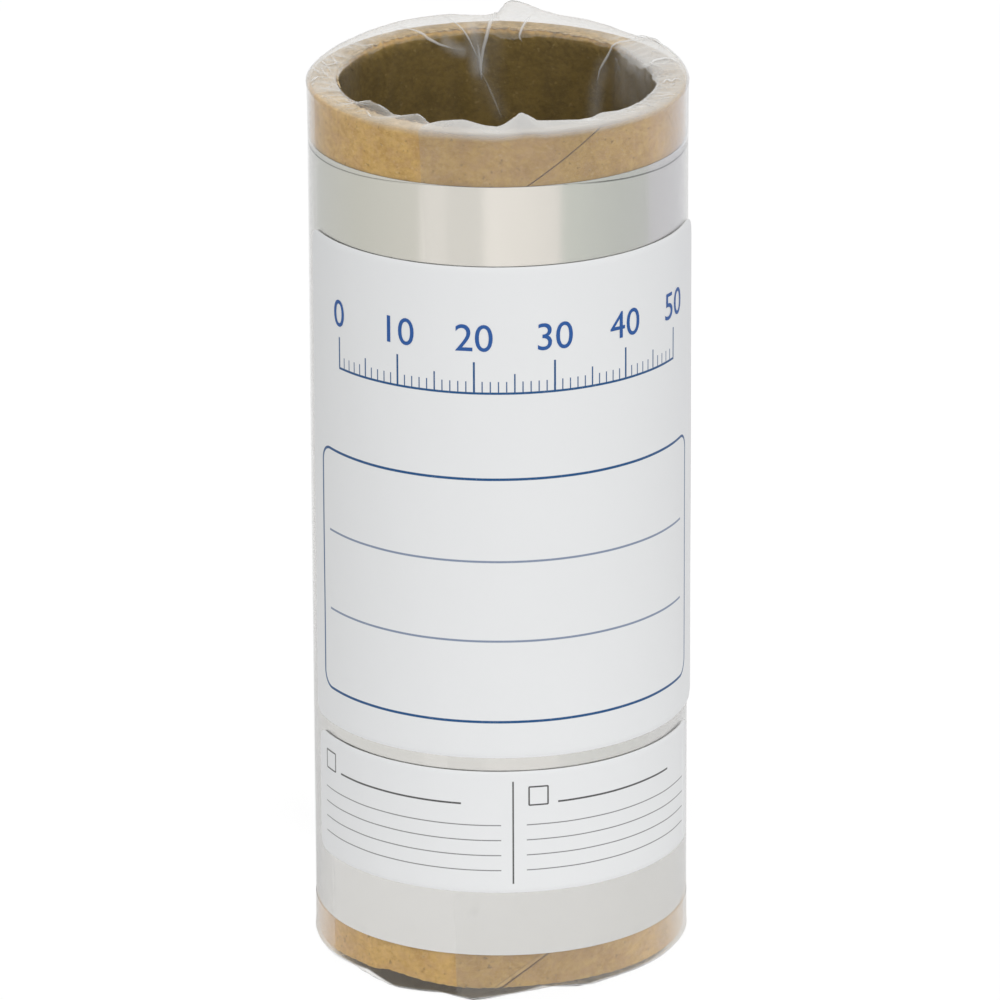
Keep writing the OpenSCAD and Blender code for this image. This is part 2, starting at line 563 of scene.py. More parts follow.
def frame_mask(along: Wire, up: Wire, box: Sequence[float], corner: float, width: float) -> Wire:
    """Returns the mask of a printed frame with round corners.

    Args:
        along: place along the sheet.
        up: place up the sheet.
        box: its left, right, lower and upper edges.
        corner: radius of its corners.
        width: width of its line.

    Returns:
        The mask.
    """
    left, right, low, high = box
    across = abs(along - (left + right) / 2) - ((right - left) / 2 - corner)
    tall = abs(up - (low + high) / 2) - ((high - low) / 2 - corner)
    outside = ((across | 0.0) ** 2 + (tall | 0.0) ** 2) ** 0.5
    inside = (across | tall) & 0.0
    return line_mask(outside + inside - corner, width)


def between(value: Wire, low: float, high: float) -> Wire:
    """Returns 1 where a value lies between two numbers, with soft edges."""
    above_low = value.rise(low - PRINT_SOFT, low + PRINT_SOFT)
    return above_low & value.rise(high + PRINT_SOFT, high - PRINT_SOFT)


def ring_points(turn: np.ndarray, radius: np.ndarray, up: np.ndarray) -> np.ndarray:
    """Makes points round the roll.

    Args:
        turn: their directions in degrees.
        radius: their distances from the axis.
        up: their heights.

    Returns:
        The points, in millimetres.
    """
    angle, radius, up = np.broadcast_arrays(np.radians(turn), radius, up)
    return np.stack([radius * np.sin(angle), -radius * np.cos(angle), up], -1)


def net_faces(rows: int, columns: int, wrap: bool, offset: int = 0) -> np.ndarray:
    """Returns the four corners of each face of a net of points.

    Args:
        rows: rows of points.
        columns: points in a row.
        wrap: joins the last column to the first.
        offset: number of the first point.

    Returns:
        One row of four point numbers for each face.
    """
    row, column = np.meshgrid(np.arange(rows - 1), np.arange(columns if wrap else columns - 1), indexing="ij")
    after = (column + 1) % columns
    here, below = row * columns, (row + 1) * columns
    return np.stack([here + column, here + after, below + after, below + column], -1).reshape(-1, 4) + offset


def new_object(
    name: str,
    points: np.ndarray,
    faces: Sequence[Sequence[int]],
    material: bpy.types.Material,
    marks: dict[str, np.ndarray] | None = None,
) -> bpy.types.Object:
    """Makes a mesh object and puts it into the scene.

    Args:
        name: its name.
        points: its points in millimetres.
        faces: point numbers of its faces.
        material: its finish.
        marks: numbers stored at the points, by name.

    Returns:
        The object.
    """
    mesh = bpy.data.meshes.new(name)
    mesh.from_pydata((points.reshape(-1, 3) * MM).tolist(), [], faces)
    for mark, values in (marks or {}).items():
        layer = mesh.attributes.new(mark, "FLOAT", "POINT")
        layer.data.foreach_set("value", np.ascontiguousarray(values, np.float32).ravel())
    mesh.materials.append(material)
    made = bpy.data.objects.new(name, mesh)
    bpy.context.scene.collection.objects.link(made)
    return made


def mesh_piece(
    name: str,
    points: np.ndarray,
    faces: np.ndarray,
    material: bpy.types.Material,
    uv: np.ndarray | None = None,
    marks: dict[str, np.ndarray] | None = None,
) -> bpy.types.Object:
    """Makes one smooth piece that rides on the roll's body.

    Args:
        name: the piece's name.
        points: its points in millimetres.
        faces: point numbers of its faces.
        material: its finish.
        uv: place on the unrolled sheet of each corner of each face, in millimetres.
        marks: numbers stored at the points, by name.

    Returns:
        The piece.
    """
    piece = new_object(name, points, faces.tolist(), material, marks)
    if uv is not None:
        layer = piece.data.uv_layers.new(name="sheet")
        layer.data.foreach_set("uv", np.ascontiguousarray(uv / UV_SPAN, np.float32).ravel())
    piece.data.shade_smooth()
    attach(piece, BODY)
    return piece


def waves(turn: np.ndarray, seed: int, count: int, lowest: int, highest: int) -> np.ndarray:
    """Returns a smooth random curve round the roll, between about -1 and 1.

    Args:
        turn: directions in degrees.
        seed: picks the curve.
        count: number of waves added up.
        lowest: fewest crests of a wave in one turn.
        highest: most crests of a wave in one turn.

    Returns:
        The curve at those directions.
    """
    source = np.random.default_rng(seed)
    total = np.zeros_like(turn, dtype=float)
    for _ in range(count):
        crests = source.integers(lowest, highest + 1)
        total += source.uniform(0.4, 1.0) * np.sin(np.radians(turn * crests + source.uniform(0, 360)))
    return total / math.sqrt(count)


@dataclass(frozen=True)
class Outline:
    """A height that changes round the roll.

    Args:
        turns: directions where it is known, rising, in degrees.
        heights: the heights there, in millimetres.
    """

    turns: tuple[float, ...]
    heights: tuple[float, ...]

    def at(self, turn: np.ndarray) -> np.ndarray:
        """Returns the height in the given directions."""
        return np.interp(turn % 360, self.turns, self.heights, period=360)


@dataclass(frozen=True)
class RollSizes:
    """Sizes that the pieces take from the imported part, in millimetres.

    Args:
        bore_r: radius of the bore.
        tube_r: radius of the tube.
        tube_low: height of the tube's lower end.
        tube_high: height of its upper end.
        foil_r: radius of the foil.
        foil_low: height of the foil's lower edge.
        foil_high: height of its upper edge.
        main_low: height of the main label's lower edge.
        main_high: height of its upper edge.
        small_low: height of the small label's lower edge.
        small_high: height of its upper edge.
        upper_cut: how far the tube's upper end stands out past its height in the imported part.
        lower_cut: how far its lower end does.
    """

    bore_r: float
    tube_r: float
    tube_low: float
    tube_high: float
    foil_r: float
    foil_low: float
    foil_high: float
    main_low: float
    main_high: float
    small_low: float
    small_high: float
    upper_cut: Outline = Outline(
        (0, 40, 60, 90, 120, 150, 180, 210, 240, 270, 300, 335),
        (-0.45, -0.3, -0.4, -0.1, 0.25, 0.6, 0.85, 0.75, 0.4, 0.0, -0.25, -0.4),
    )
    lower_cut: Outline = Outline(
        (0, 12, 30, 90, 180, 240, 287, 308, 316, 322, 328, 335, 345, 352),
        (0.2, 0.05, 0.0, 0.1, 0.0, 0.2, 0.5, 0.0, 0.1, -0.35, -0.2, 0.1, 0.34, 0.36),
    )

    @classmethod
    def from_frame(cls, record: dict[str, Any]) -> "RollSizes":
        """Reads the sizes.

        Args:
            record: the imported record.

        Returns:
            The sizes.
        """
        bore = next(mount for mount in record["mounts"] if mount["name"] == "core_bore")
        tube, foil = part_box("paper_tube"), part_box("foil_coil")
        main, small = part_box("main_label"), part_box("lower_label")
        return cls(
            bore_r=bore["dims"]["r_mm"],
            tube_r=tube[1].x / MM,
            tube_low=tube[0].z / MM,
            tube_high=tube[1].z / MM,
            foil_r=foil[1].x / MM,
            foil_low=foil[0].z / MM,
            foil_high=foil[1].z / MM,
            main_low=main[0].z / MM,
            main_high=main[1].z / MM,
            small_low=small[0].z / MM,
            small_high=small[1].z / MM,
        )


class Side(IntEnum):
    """The side of the tube's closed section that a point is on."""

    OUTER = 0
    TOP = 1
    BORE = 2
    BOTTOM = 3


@dataclass(frozen=True)
class TubeNet:
    """The tube's points before tears and relief, in rows along its section.

    Args:
        turn: their directions.
        radius: their distances from the axis.
        side: the side that they are on.
        past_seam: how far round the tube they are from the seam, in millimetres.
        down: how far they are below the upper end.
        up: how far they are above the lower end.
    """

    turn: np.ndarray
    radius: np.ndarray
    side: np.ndarray
    past_seam: np.ndarray
    down: np.ndarray
    up: np.ndarray


@dataclass
class PaperTube:
    """The spiral-wound paper tube.

    Args:
        sizes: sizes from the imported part.
        finish: its board.
        tear: how far the bore's upper edge is torn back.
        seam_lead: rise of the outer ply's seam in one turn.
        seam_w: width of the gap along it.
        seam_depth: depth of that gap.
        edge: broken edge at the cut ends.
        ply: thickness of one ply.
        fray: roughness of the bore's upper edge.
        flakes: number of torn fibres that hang from it.
        flake_steps: points along the edge of each of them.
        column_step: degrees between two columns of points away from the seam.
    """

    sizes: RollSizes
    finish: Kraft = field(default_factory=Kraft)
    tear: Outline = Outline(
        (0, 60, 100, 133, 144, 150, 162, 170, 178, 186, 195, 202, 212, 225, 232, 243, 262, 276, 300, 330),
        (0.2, 0.3, 0.3, 0.2, 0.6, 0.5, 0.75, 0.4, 0.65, 0.55, 0.9, 1.1, 1.15, 0.95, 1.05, 0.5, 0.3, 0.05, 0.2,
         0.1),
    )
    seam_lead: float = 102.0
    seam_w: float = 0.3
    seam_depth: float = 0.2
    edge: float = 0.25
    ply: float = 0.42
    fray: float = 0.3
    flakes: int = 700
    flake_steps: int = 5
    column_step: float = 0.8

    # Places of the columns of points at the seam, in millimetres where its gap is 0.3 mm wide.
    SEAM_COLUMNS: ClassVar[tuple[float, ...]] = (
        -1.2, -1.08, -1.0, -0.92, -0.8, -0.6, -0.4, -0.24, -0.17, -0.15, -0.11, -0.045,
        0.045, 0.11, 0.15, 0.17, 0.24, 0.33,
    )
    # The mark that makes the board as pale as a fresh tear.
    CREAM: ClassVar[float] = 1.17

    def build(self) -> list[bpy.types.Object]:
        """Builds the tube.

        Returns:
            The tube and the torn fibres at its upper end.
        """
        material = self.finish.material()
        tube = self.wall(material)
        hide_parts("paper_tube")
        fibres = self.torn_fibres(material)
        return [tube, fibres]

    def columns(self) -> np.ndarray:
        """Spaces out the columns of points, closer together at the seam.

        Returns:
            Their directions at the lower end.
        """
        per_mm = 360 / (2 * math.pi * self.sizes.tube_r)
        at_seam = np.array(self.SEAM_COLUMNS) * self.seam_w / 0.3 * per_mm
        return np.concatenate([at_seam, np.arange(2.0, 356.5, self.column_step)])

    def profile(self) -> tuple[np.ndarray, np.ndarray, np.ndarray]:
        """Goes once round the tube's closed section.

        Returns:
            Radius, height and side of each row of points.
        """
        s = self.sizes
        low, high, b = s.tube_low, s.tube_high, self.edge
        near_end = np.arange(0.0, 10.01, 0.4)
        middle = np.linspace(low + 11, high - 11, 24)
        walls = np.unique(np.concatenate([low + b + near_end, middle, high - b - near_end]))
        turn = np.radians(np.array([22.5, 45.0, 67.5]))
        across = np.linspace(0.0, 1.0, 22) * (s.tube_r - s.bore_r - 2 * b)
        rows = [
            (np.full(walls.size, s.tube_r), walls, Side.OUTER),
            (s.tube_r - b + b * np.cos(turn), high - b + b * np.sin(turn), Side.OUTER),
            (s.tube_r - b - across, np.full(across.size, high), Side.TOP),
            (s.bore_r + b - b * np.sin(turn), high - b + b * np.cos(turn), Side.BORE),
            (np.full(walls.size, s.bore_r), walls[::-1], Side.BORE),
            (s.bore_r + b - b * np.cos(turn), low + b - b * np.sin(turn), Side.BORE),
            (s.bore_r + b + across, np.full(across.size, low), Side.BOTTOM),
            (s.tube_r - b + b * np.sin(turn), low + b - b * np.cos(turn), Side.OUTER),
        ]
        radius = np.concatenate([r for r, _, _ in rows])
        height = np.concatenate([h for _, h, _ in rows])
        side = np.concatenate([np.full(r.size, int(place)) for r, _, place in rows])
        return radius, height, side

    def wall(self, material: bpy.types.Material) -> bpy.types.Object:
        """Makes the tube's wall, whose columns wind up with the seam so that its gap is crisp.

        Args:
            material: the board.

        Returns:
            The piece.
        """
        s = self.sizes
        column = self.columns()
        radius, height, side = (values[:, None] for values in self.profile())
        turn = column[None, :] + (height - s.tube_low) * 360 / self.seam_lead
        past_seam = ((column + 180) % 360 - 180)[None, :] * math.pi / 180 * s.tube_r
        net = TubeNet(turn, radius, side, past_seam, down=s.tube_high - height, up=height - s.tube_low)
        points = ring_points(turn, self.torn_radius(net), height + self.rise(net))
        rows, columns = points.shape[:2]
        marks = {name: np.broadcast_to(values, (rows, columns)) for name, values in self.marks(net).items()}
        first, last = np.arange(columns), (rows - 1) * columns
        after = np.roll(first, -1)
        closing = np.stack([last + first, last + after, after, first], -1)
        faces = np.concatenate([net_faces(rows, columns, wrap=True), closing])
        return mesh_piece("paper_tube_wall", points, faces, material, marks=marks)

    def across(self, net: TubeNet) -> np.ndarray:
        """Returns how far through the wall each point is: 0 at its outside and 1 at the bore."""
        return (self.sizes.tube_r - net.radius) / (self.sizes.tube_r - self.sizes.bore_r)

    def gap(self, net: TubeNet) -> np.ndarray:
        """Returns 1 in the seam's gap and 0 beside it."""
        inside = np.clip((self.seam_w * 0.62 - np.abs(net.past_seam)) / (self.seam_w * 0.2), 0, 1)
        return inside * (net.side == Side.OUTER)

    def frayed(self, net: TubeNet) -> np.ndarray:
        """Returns 1 at the bore's upper edge, falling to 0 beside it."""
        return np.exp(-((self.across(net) - 1.0) / 0.09) ** 2) * (net.down < 1.2)

    def rise(self, net: TubeNet) -> np.ndarray:
        """Works out relief, fray and uneven cuts of the two ends.

        Args:
            net: the tube's points.

        Returns:
            How far each point stands over its plain height.
        """
        s = self.sizes
        plies = self.across(net) * (s.tube_r - s.bore_r) / self.ply
        rough = self.roughness(net.turn, plies)
        ply_ends = np.sin(2 * math.pi * plies)
        top = (net.side == Side.TOP) * (0.02 * ply_ends + rough * 0.09 - 0.03)
        bottom = (net.side == Side.BOTTOM) * (0.03 * ply_ends + rough * 0.04)
        ragged = self.frayed(net) * np.clip(waves(net.turn, 5, 9, 25, 130) * 0.6 + 0.4, 0, 2) * self.fray
        upper_cut = s.upper_cut.at(net.turn) * np.clip(1 - net.down / 8, 0, 1)
        lower_cut = s.lower_cut.at(net.turn) + 0.07 * waves(net.turn, 9, 9, 20, 150)
        lower_cut = lower_cut * np.clip(1 - net.up / 4, 0, 1) ** 2
        return top - bottom - ragged + upper_cut - lower_cut

    def torn_radius(self, net: TubeNet) -> np.ndarray:
        """Works out the seam's gap and lip, the torn edge of the bore and slight waves of the wall.

        Args:
            net: the tube's points.

        Returns:
            The radius of each point.
        """
        outer = net.side == Side.OUTER
        lip = np.exp(-((np.abs(net.past_seam) - self.seam_w * 0.95) / 0.25) ** 2) * outer
        near_bore = np.clip((self.across(net) - 0.45) / 0.55, 0, 1) ** 1.5 * (net.side != Side.OUTER)
        radius = net.radius - self.gap(net) * self.seam_depth + lip * 0.03
        radius = radius + self.frayed(net) * waves(net.turn, 6, 9, 30, 140) * 0.12
        radius = radius + near_bore * np.exp(-net.down / 0.7) * self.tear.at(net.turn)
        return radius + outer * waves(net.turn, 7, 5, 2, 11) * 0.012

    def marks(self, net: TubeNet) -> dict[str, np.ndarray]:
        """Marks where the board's colour changes.

        Args:
            net: the tube's points.

        Returns:
            The numbers that the finish reads, by name.
        """
        outer, bore = net.side == Side.OUTER, net.side == Side.BORE
        ends = (net.side == Side.TOP) | (net.side == Side.BOTTOM)
        foot = outer * np.clip(1 - net.up / 7, 0, 1) ** 0.5
        pale_strip = np.clip(1 - np.abs(net.past_seam + 0.6) / 0.4, 0, 1) * foot
        # Painted shadow: a thin dark line beside the seam's pale strip, near the foot.
        seam_shadow_line = np.clip(1 - np.abs(net.past_seam + 1.0) / 0.16, 0, 1) * foot
        worn_edge = outer * np.clip(1 - net.down / 0.4, 0, 1) * 0.6
        reach = 0.12 + 0.12 * waves(net.turn, 13, 9, 30, 140)
        cream = bore * np.clip((reach - net.down) / 0.15, 0, 1) * self.CREAM
        return {
            "bore": bore * np.clip((net.down - 0.2) / 0.5, 0, 1),
            "seam": np.maximum(self.gap(net), seam_shadow_line * 0.55),
            "lip": pale_strip,
            "end": ends + worn_edge + cream,
        }

    @staticmethod
    def roughness(turn: np.ndarray, plies: np.ndarray) -> np.ndarray:
        """Makes a coarse relief for the cut ends, different in each ply.

        Args:
            turn: directions of the points.
            plies: how many plies lie outside each.

        Returns:
            The relief, between about -1 and 1.
        """
        ply = np.floor(plies)
        total = np.zeros(np.broadcast(turn, plies).shape)
        for crests, shift, size in ((17, 1.9, 0.4), (41, 3.1, 0.5), (73, 5.3, 0.4), (119, 2.3, 0.3)):
            total = total + size * np.sin(np.radians(turn * crests + ply * shift * 97))
        return total

    def torn_fibres(self, material: bpy.types.Material) -> bpy.types.Object:
        """Makes small flakes of paper that hang from the bore's upper edge.

        Args:
            material: the board.

        Returns:
            The flakes as one piece.
        """
        s = self.sizes
        source = np.random.default_rng(11)
        points, faces = [], []
        for _ in range(self.flakes):
            turn = source.uniform(0, 360)
            wide, tall = source.uniform(0.3, 1.5), source.uniform(0.04, 0.26)
            lean = source.uniform(-0.05, 0.2)
            here = np.array(turn)
            top = s.tube_high + float(s.upper_cut.at(here)) - source.uniform(-0.08, 0.2)
            bore_r = s.bore_r + float(self.tear.at(here)) * 0.85
            start = len(points)
            for share in np.linspace(0, 1, self.flake_steps):
                here = np.array(turn + (share - 0.5) * wide * 180 / math.pi / bore_r)
                drop = tall * math.sin(math.pi * share) ** 0.6 * source.uniform(0.45, 1.0)
                points.append(ring_points(here, np.array(bore_r + 0.05), np.array(top + 0.08)))
                points.append(ring_points(here, np.array(bore_r - 0.02 - lean), np.array(top - drop)))
            for a in range(start, len(points) - 2, 2):
                faces.append([a, a + 2, a + 3, a + 1])
        marks = {"end": np.full(len(points), self.CREAM)}
        return mesh_piece("torn_fibres", np.array(points), np.array(faces), material, marks=marks)


@dataclass
class FoilCoil:
    """The foil strip, wound in turns that have slid a little.

    Args:
        sizes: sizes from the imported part.
        finish: its metal.
        turns: number of turns.
        pitch: how far apart they are.
        end_turn: direction of the strip's outer end.
        column_step: degrees between two columns of points.
        slip: how far the outer turns have slid down at their upper edge.
        shadow: how dark the outer turn's upper edge is.
    """

    sizes: RollSizes
    finish: Foil = field(default_factory=Foil)
    turns: int = 5
    pitch: float = 0.03
    end_turn: float = 148.0
    column_step: float = 1.5
    slip: Outline = Outline(
        (0, 12, 20, 30, 42, 60, 90, 180, 250, 300, 315, 325, 335, 345),
        (0.0, 0.02, 0.1, 0.33, 0.67, 1.0, 1.05, 1.0, 0.85, 0.72, 0.55, 0.35, 0.15, 0.03),
    )
    shadow: Outline = Outline(
        (0, 24, 34, 60, 100, 140, 220, 300, 322, 334),
        (0, 0, 0.75, 0.6, 0.4, 0.4, 0.3, 0.16, 0.1, 0),
    )

    # Distances of the rows of points near each edge from that edge.
    EDGE_ROWS: ClassVar[tuple[float, ...]] = (0.0, 0.06, 0.12, 0.16, 0.3, 0.6, 1.0, 1.6, 2.6, 4.0, 6.0, 9.0)

    def build(self) -> list[bpy.types.Object]:
        """Builds the strip.

        Returns:
            One spiral sheet.
        """
        s = self.sizes
        angle = self.turns * 360
        wound = np.arange(0.0, angle + self.column_step / 2, self.column_step)[None, :]
        tall = s.foil_high - s.foil_low
        near = np.array(self.EDGE_ROWS)
        rows = np.concatenate([near, np.linspace(12, tall - 12, 16), tall - near[::-1]])[:, None]
        share = rows / tall
        turn = wound + self.end_turn
        left = (angle - wound) / 360
        outer = np.clip((1 - left) * 6, 0, 1)
        drop = self.slip.at(turn) * outer
        z = s.foil_low + rows - drop * share**6 + 0.1 * (1 - outer) * (1 - share) ** 6
        flare = np.exp(-rows / 0.5) + np.exp(-(tall - rows) / 0.5)
        radius = s.foil_r - left * self.pitch + flare * 0.04 * outer
        radius = radius + 0.012 * waves(turn + 0.25 * rows, 21, 4, 2, 9) * outer
        points = ring_points(turn, radius, z)
        edge = np.clip((rows - tall + 0.16) / 0.04, 0, 1) * outer * self.shadow.at(turn)
        faces = net_faces(*radius.shape, wrap=False)
        strip = mesh_piece("foil_strip", points, faces, self.finish.material(), marks={"edge": edge})
        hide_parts("foil_coil")
        return [strip]


class End(Enum):
    """Which end of the roll a gathered piece of film closes."""

    UPPER = 1
    LOWER = -1


@dataclass(frozen=True)
class Crease:
    """A sharp fold that stands out of the film along a line.

    Args:
        turns: directions of the line's points.
        depths: how far along the film each point is from the tube's outer edge.
        height: how far it stands out.
        width: half its width.
        cloud: how cloudy it is.
    """

    turns: tuple[float, ...]
    depths: tuple[float, ...]
    height: float
    width: float
    cloud: float


@dataclass(frozen=True)
class Patch:
    """A cloudy place along a line on the film.

    Args:
        turns: directions of the line's points.
        depths: how far along the film each point is from the tube's outer edge.
        width: half its width.
        cloud: how cloudy it is.
    """

    turns: tuple[float, ...]
    depths: tuple[float, ...]
    width: float
    cloud: float

    def at(self, turn: np.ndarray, depth: np.ndarray, radius: float) -> np.ndarray:
        """Returns how cloudy the patch makes the film.

        Args:
            turn: directions of the points.
            depth: their distance from the tube's outer edge, along the film.
            radius: radius that turns directions into lengths.

        Returns:
            Its full cloud on the line, falling to 0 at its edges.
        """
        away = (turn - self.turns[0] + 180) % 360 - 180
        x, y = np.radians(away) * radius, depth
        line_x = [math.radians(place - self.turns[0]) * radius for place in self.turns]
        nearest = np.full(np.broadcast(turn, depth).shape, np.inf)
        for x0, y0, x1, y1 in zip(line_x, self.depths, line_x[1:], self.depths[1:]):
            across, down = x1 - x0, y1 - y0
            share = np.clip(((x - x0) * across + (y - y0) * down) / (across**2 + down**2), 0, 1)
            nearest = np.minimum(nearest, np.hypot(x - x0 - share * across, y - y0 - share * down))
        return np.clip(1 - nearest / self.width, 0, 1) ** 1.3 * self.cloud


@dataclass(frozen=True)
class NetReader:
    """Reads values between the points of a net that goes round the roll.

    Args:
        shape: rows of the net, and points in each.
        row: where to read, counted in rows.
        turn: where to read, in degrees.
    """

    shape: tuple[int, int]
    row: np.ndarray
    turn: np.ndarray

    def read(self, values: np.ndarray) -> np.ndarray:
        """Reads one set of values.

        Args:
            values: rows of numbers or points, one for each point of the net.

        Returns:
            The values at the places to read.
        """
        rows, around = self.shape
        column = (self.turn % 360) * around / 360
        above, before = np.minimum(self.row.astype(int), rows - 2), np.floor(column).astype(int)
        down, over = (self.row - above)[..., None], (column - before)[..., None]
        before, after = before % around, (before + 1) % around
        upper = values[above, before] * (1 - over) + values[above, after] * over
        lower = values[above + 1, before] * (1 - over) + values[above + 1, after] * over
        return upper * (1 - down) + lower * down


@dataclass
class GatheredEnd:
    """Film that comes up the wall, goes over the tube's end and is tucked into the bore.

    It is worked out as a net of points whose links keep their length. The net starts on a smooth
    path with a little more girth than fits there, so it buckles into folds, first large, then finer.

    Args:
        sizes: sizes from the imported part.
        end: the end of the roll.
        sleeve_r: radius of the film on the roll.
        crest: how far the film stands out past the tube's end.
        ridges: how far it stands up at the bore's edge.
        creases: single sharp folds, each a narrow raised strip.
        patches: cloudy places.
        cloud: how cloudy the film is over the tube's end.
        veil: how grey it is where it stands up at the outer edge.
        lining: how cloudy it is inside the bore.
        bridge: how far it cuts across the bore at its edge.
        join: how far from the tube's end the film lies flat on the wall.
        tuck: how deep it goes into the bore.
        room: free height over the tube's end, or 0 for no limit.
        spare: spare girth that buckles.
        seed: picks the folds.
        around: points of the finished net round the roll.
        rows: rows of the finished net.
        gap: how far it stays off the tube.
    """

    sizes: RollSizes
    end: End
    sleeve_r: float
    crest: Outline
    ridges: Outline
    creases: tuple[Crease, ...] = ()
    patches: tuple[Patch, ...] = ()
    cloud: Outline = Outline((0,), (0.0,))
    veil: Outline = Outline((0,), (0.0,))
    lining: Outline = Outline((0,), (0.0,))
    bridge: Outline = Outline((0,), (0.0,))
    join: float = 4.0
    tuck: float = 28.0
    room: float = 0.0
    spare: float = 0.016
    seed: int = 1
    around: int = 360
    rows: int = 64
    gap: float = 0.08

    # Number of the path's corner at the bore's edge.
    BORE_CORNER: ClassVar[int] = 6
    # For the coarse, the middle and the fine net: size of the random shifts, and rounds of relaxing.
    NOISE: ClassVar[tuple[float, ...]] = (0.2, 0.05, 0.01)
    ROUNDS: ClassVar[tuple[int, ...]] = (200, 200, 160)
    QUICK_ROUNDS: ClassVar[tuple[int, ...]] = (40, 40, 20)
    # Links between points: steps round the roll, steps down and stiffness.
    LINKS: ClassVar[tuple[tuple[int, int, float], ...]] = (
        (1, 0, 1.0), (0, 1, 1.0), (1, 1, 0.35), (-1, 1, 0.35), (2, 0, 0.15), (0, 2, 0.25),
    )
    # Share of its speed that a point keeps in each round, and share of a link's pull that it takes up.
    SPEED_KEPT: ClassVar[float] = 0.86
    PULL: ClassVar[float] = 0.3

    def net(self) -> Net:
        """Works out the gathered film.

        Returns:
            Its rows from the wall to the bore, each all the way round, their haze, and its folds.
        """
        source = np.random.default_rng(self.seed)
        around, rows = self.around // 4, self.rows // 4
        shift = np.zeros((rows, around, 3))
        for rounds, noise in zip(self.ROUNDS, self.NOISE):
            if shift.shape[1] < around:
                shift = self.finer(shift)
            plain = self.start(around, rows)
            shift = shift + source.normal(0, noise, plain.shape) * self.free(plain)[:, :, None]
            shift = self.relax(plain + shift, rounds) - plain
            if around < self.around:
                around, rows = around * 2, rows * 2
        points = plain + shift
        s = self.sizes
        if self.end is End.UPPER:
            turn = np.degrees(np.arctan2(points[..., 0], -points[..., 1]))
            reach = np.clip(1 + points[..., 2] / self.join, 0, 1)
            points[..., 2] += s.tube_high + s.upper_cut.at(turn) * reach
        else:
            points[..., 2] = np.maximum(s.tube_low - points[..., 2], s.tube_low - self.room)
        return points, self.haze(rows), [self.strip(crease, points) for crease in self.creases]

    def path(self, turn: np.ndarray) -> Pair:
        """Returns corner points of the film's path in each direction.

        Args:
            turn: the directions.

        Returns:
            Radii and heights over the tube's end, one row for each corner.
        """
        s = self.sizes
        high, ridge = self.crest.at(turn), self.ridges.at(turn)
        sleeve, tube, bore, flat = self.sleeve_r, s.tube_r, s.bore_r, np.zeros_like(turn)
        loose = 0.12 * (1 + waves(turn, self.seed + 50, 5, 3, 14))
        over = self.bridge.at(turn)
        corners = (
            # On the wall.
            (sleeve + flat, flat - self.join),
            (sleeve + flat, flat - 0.4),
            # Up to the crest at the outer edge.
            (sleeve + 0.03 * high, 0.3 * high),
            (sleeve - 0.35 + 0.05 * high, 0.12 + 0.85 * high),
            (sleeve - 0.9 + flat, 0.15 + high),
            # Over the tube's end to the ridge at the bore's edge.
            (tube - 0.5 * (tube - bore) + flat, 0.15 + 0.62 * high + 0.3 * ridge),
            (bore + 0.35 - 0.1 * ridge - 0.4 * over, 0.14 + 0.2 * high + 0.8 * ridge),
            (bore - 0.2 - 0.3 * ridge - over, ridge),
            # Down the bore.
            (bore - 0.3 - 0.3 * ridge - 0.15 * high - 1.15 * over, -0.9 + 0.5 * ridge - 0.4 * over),
            (bore - self.gap - loose - 0.1 * high - 0.6 * over, flat - 5.0),
            (bore - self.gap - 0.5 * loose, flat - 2 * self.tuck),
        )
        return np.array([radius for radius, _ in corners]), np.array([up for _, up in corners])

    def reach(self, turn: np.ndarray) -> np.ndarray:
        """Measures the film's path.

        Args:
            turn: the directions.

        Returns:
            How far along the film each corner is, one row for each corner.
        """
        radius, up = self.path(turn)
        steps = np.hypot(np.diff(radius, axis=0), np.diff(up, axis=0))
        return np.concatenate([np.zeros((1, turn.size)), np.cumsum(steps, axis=0)])

    def along(self, rows: int) -> np.ndarray:
        """Spaces out the rows of points, closest together near the rim.

        Args:
            rows: number of rows.

        Returns:
            Each row's place along the film from the join.
        """
        share = np.linspace(0, 1, rows)
        length = self.join + (self.sizes.tube_r - self.sizes.bore_r) + 0.6 + self.tuck
        return (0.4 * share + 0.6 * share**3) * length

    def start(self, around: int, rows: int) -> np.ndarray:
        """Lays the net on its path.

        Args:
            around: points round the roll.
            rows: rows of points.

        Returns:
            The points, with heights from the tube's end.
        """
        turn = np.arange(around) * 360 / around
        reach, along = self.reach(turn), self.along(rows)
        radii, ups = (
            np.stack([np.interp(along, reach[:, i], corners[:, i]) for i in range(around)], 1)
            for corners in self.path(turn)
        )
        return ring_points(turn[None, :], radii, ups)

    @staticmethod
    def free(points: np.ndarray) -> np.ndarray:
        """Returns 0 for the rows that stay on the wall, and 1 for the others."""
        share = np.arange(len(points)) / (len(points) - 1)
        return np.broadcast_to(np.clip((share - 0.08) / 0.08, 0, 1)[:, None], points.shape[:2])

    @staticmethod
    def finer(points: np.ndarray) -> np.ndarray:
        """Refines a net.

        Args:
            points: the net.

        Returns:
            The net with twice as many points each way.
        """
        around = np.empty((points.shape[0], points.shape[1] * 2, 3))
        around[:, ::2] = points
        around[:, 1::2] = (points + np.roll(points, -1, 1)) / 2
        rows = np.linspace(0, len(points) - 1, len(points) * 2)
        low = np.minimum(rows.astype(int), len(points) - 2)
        share = (rows - low)[:, None, None]
        return around[low] * (1 - share) + around[low + 1] * share

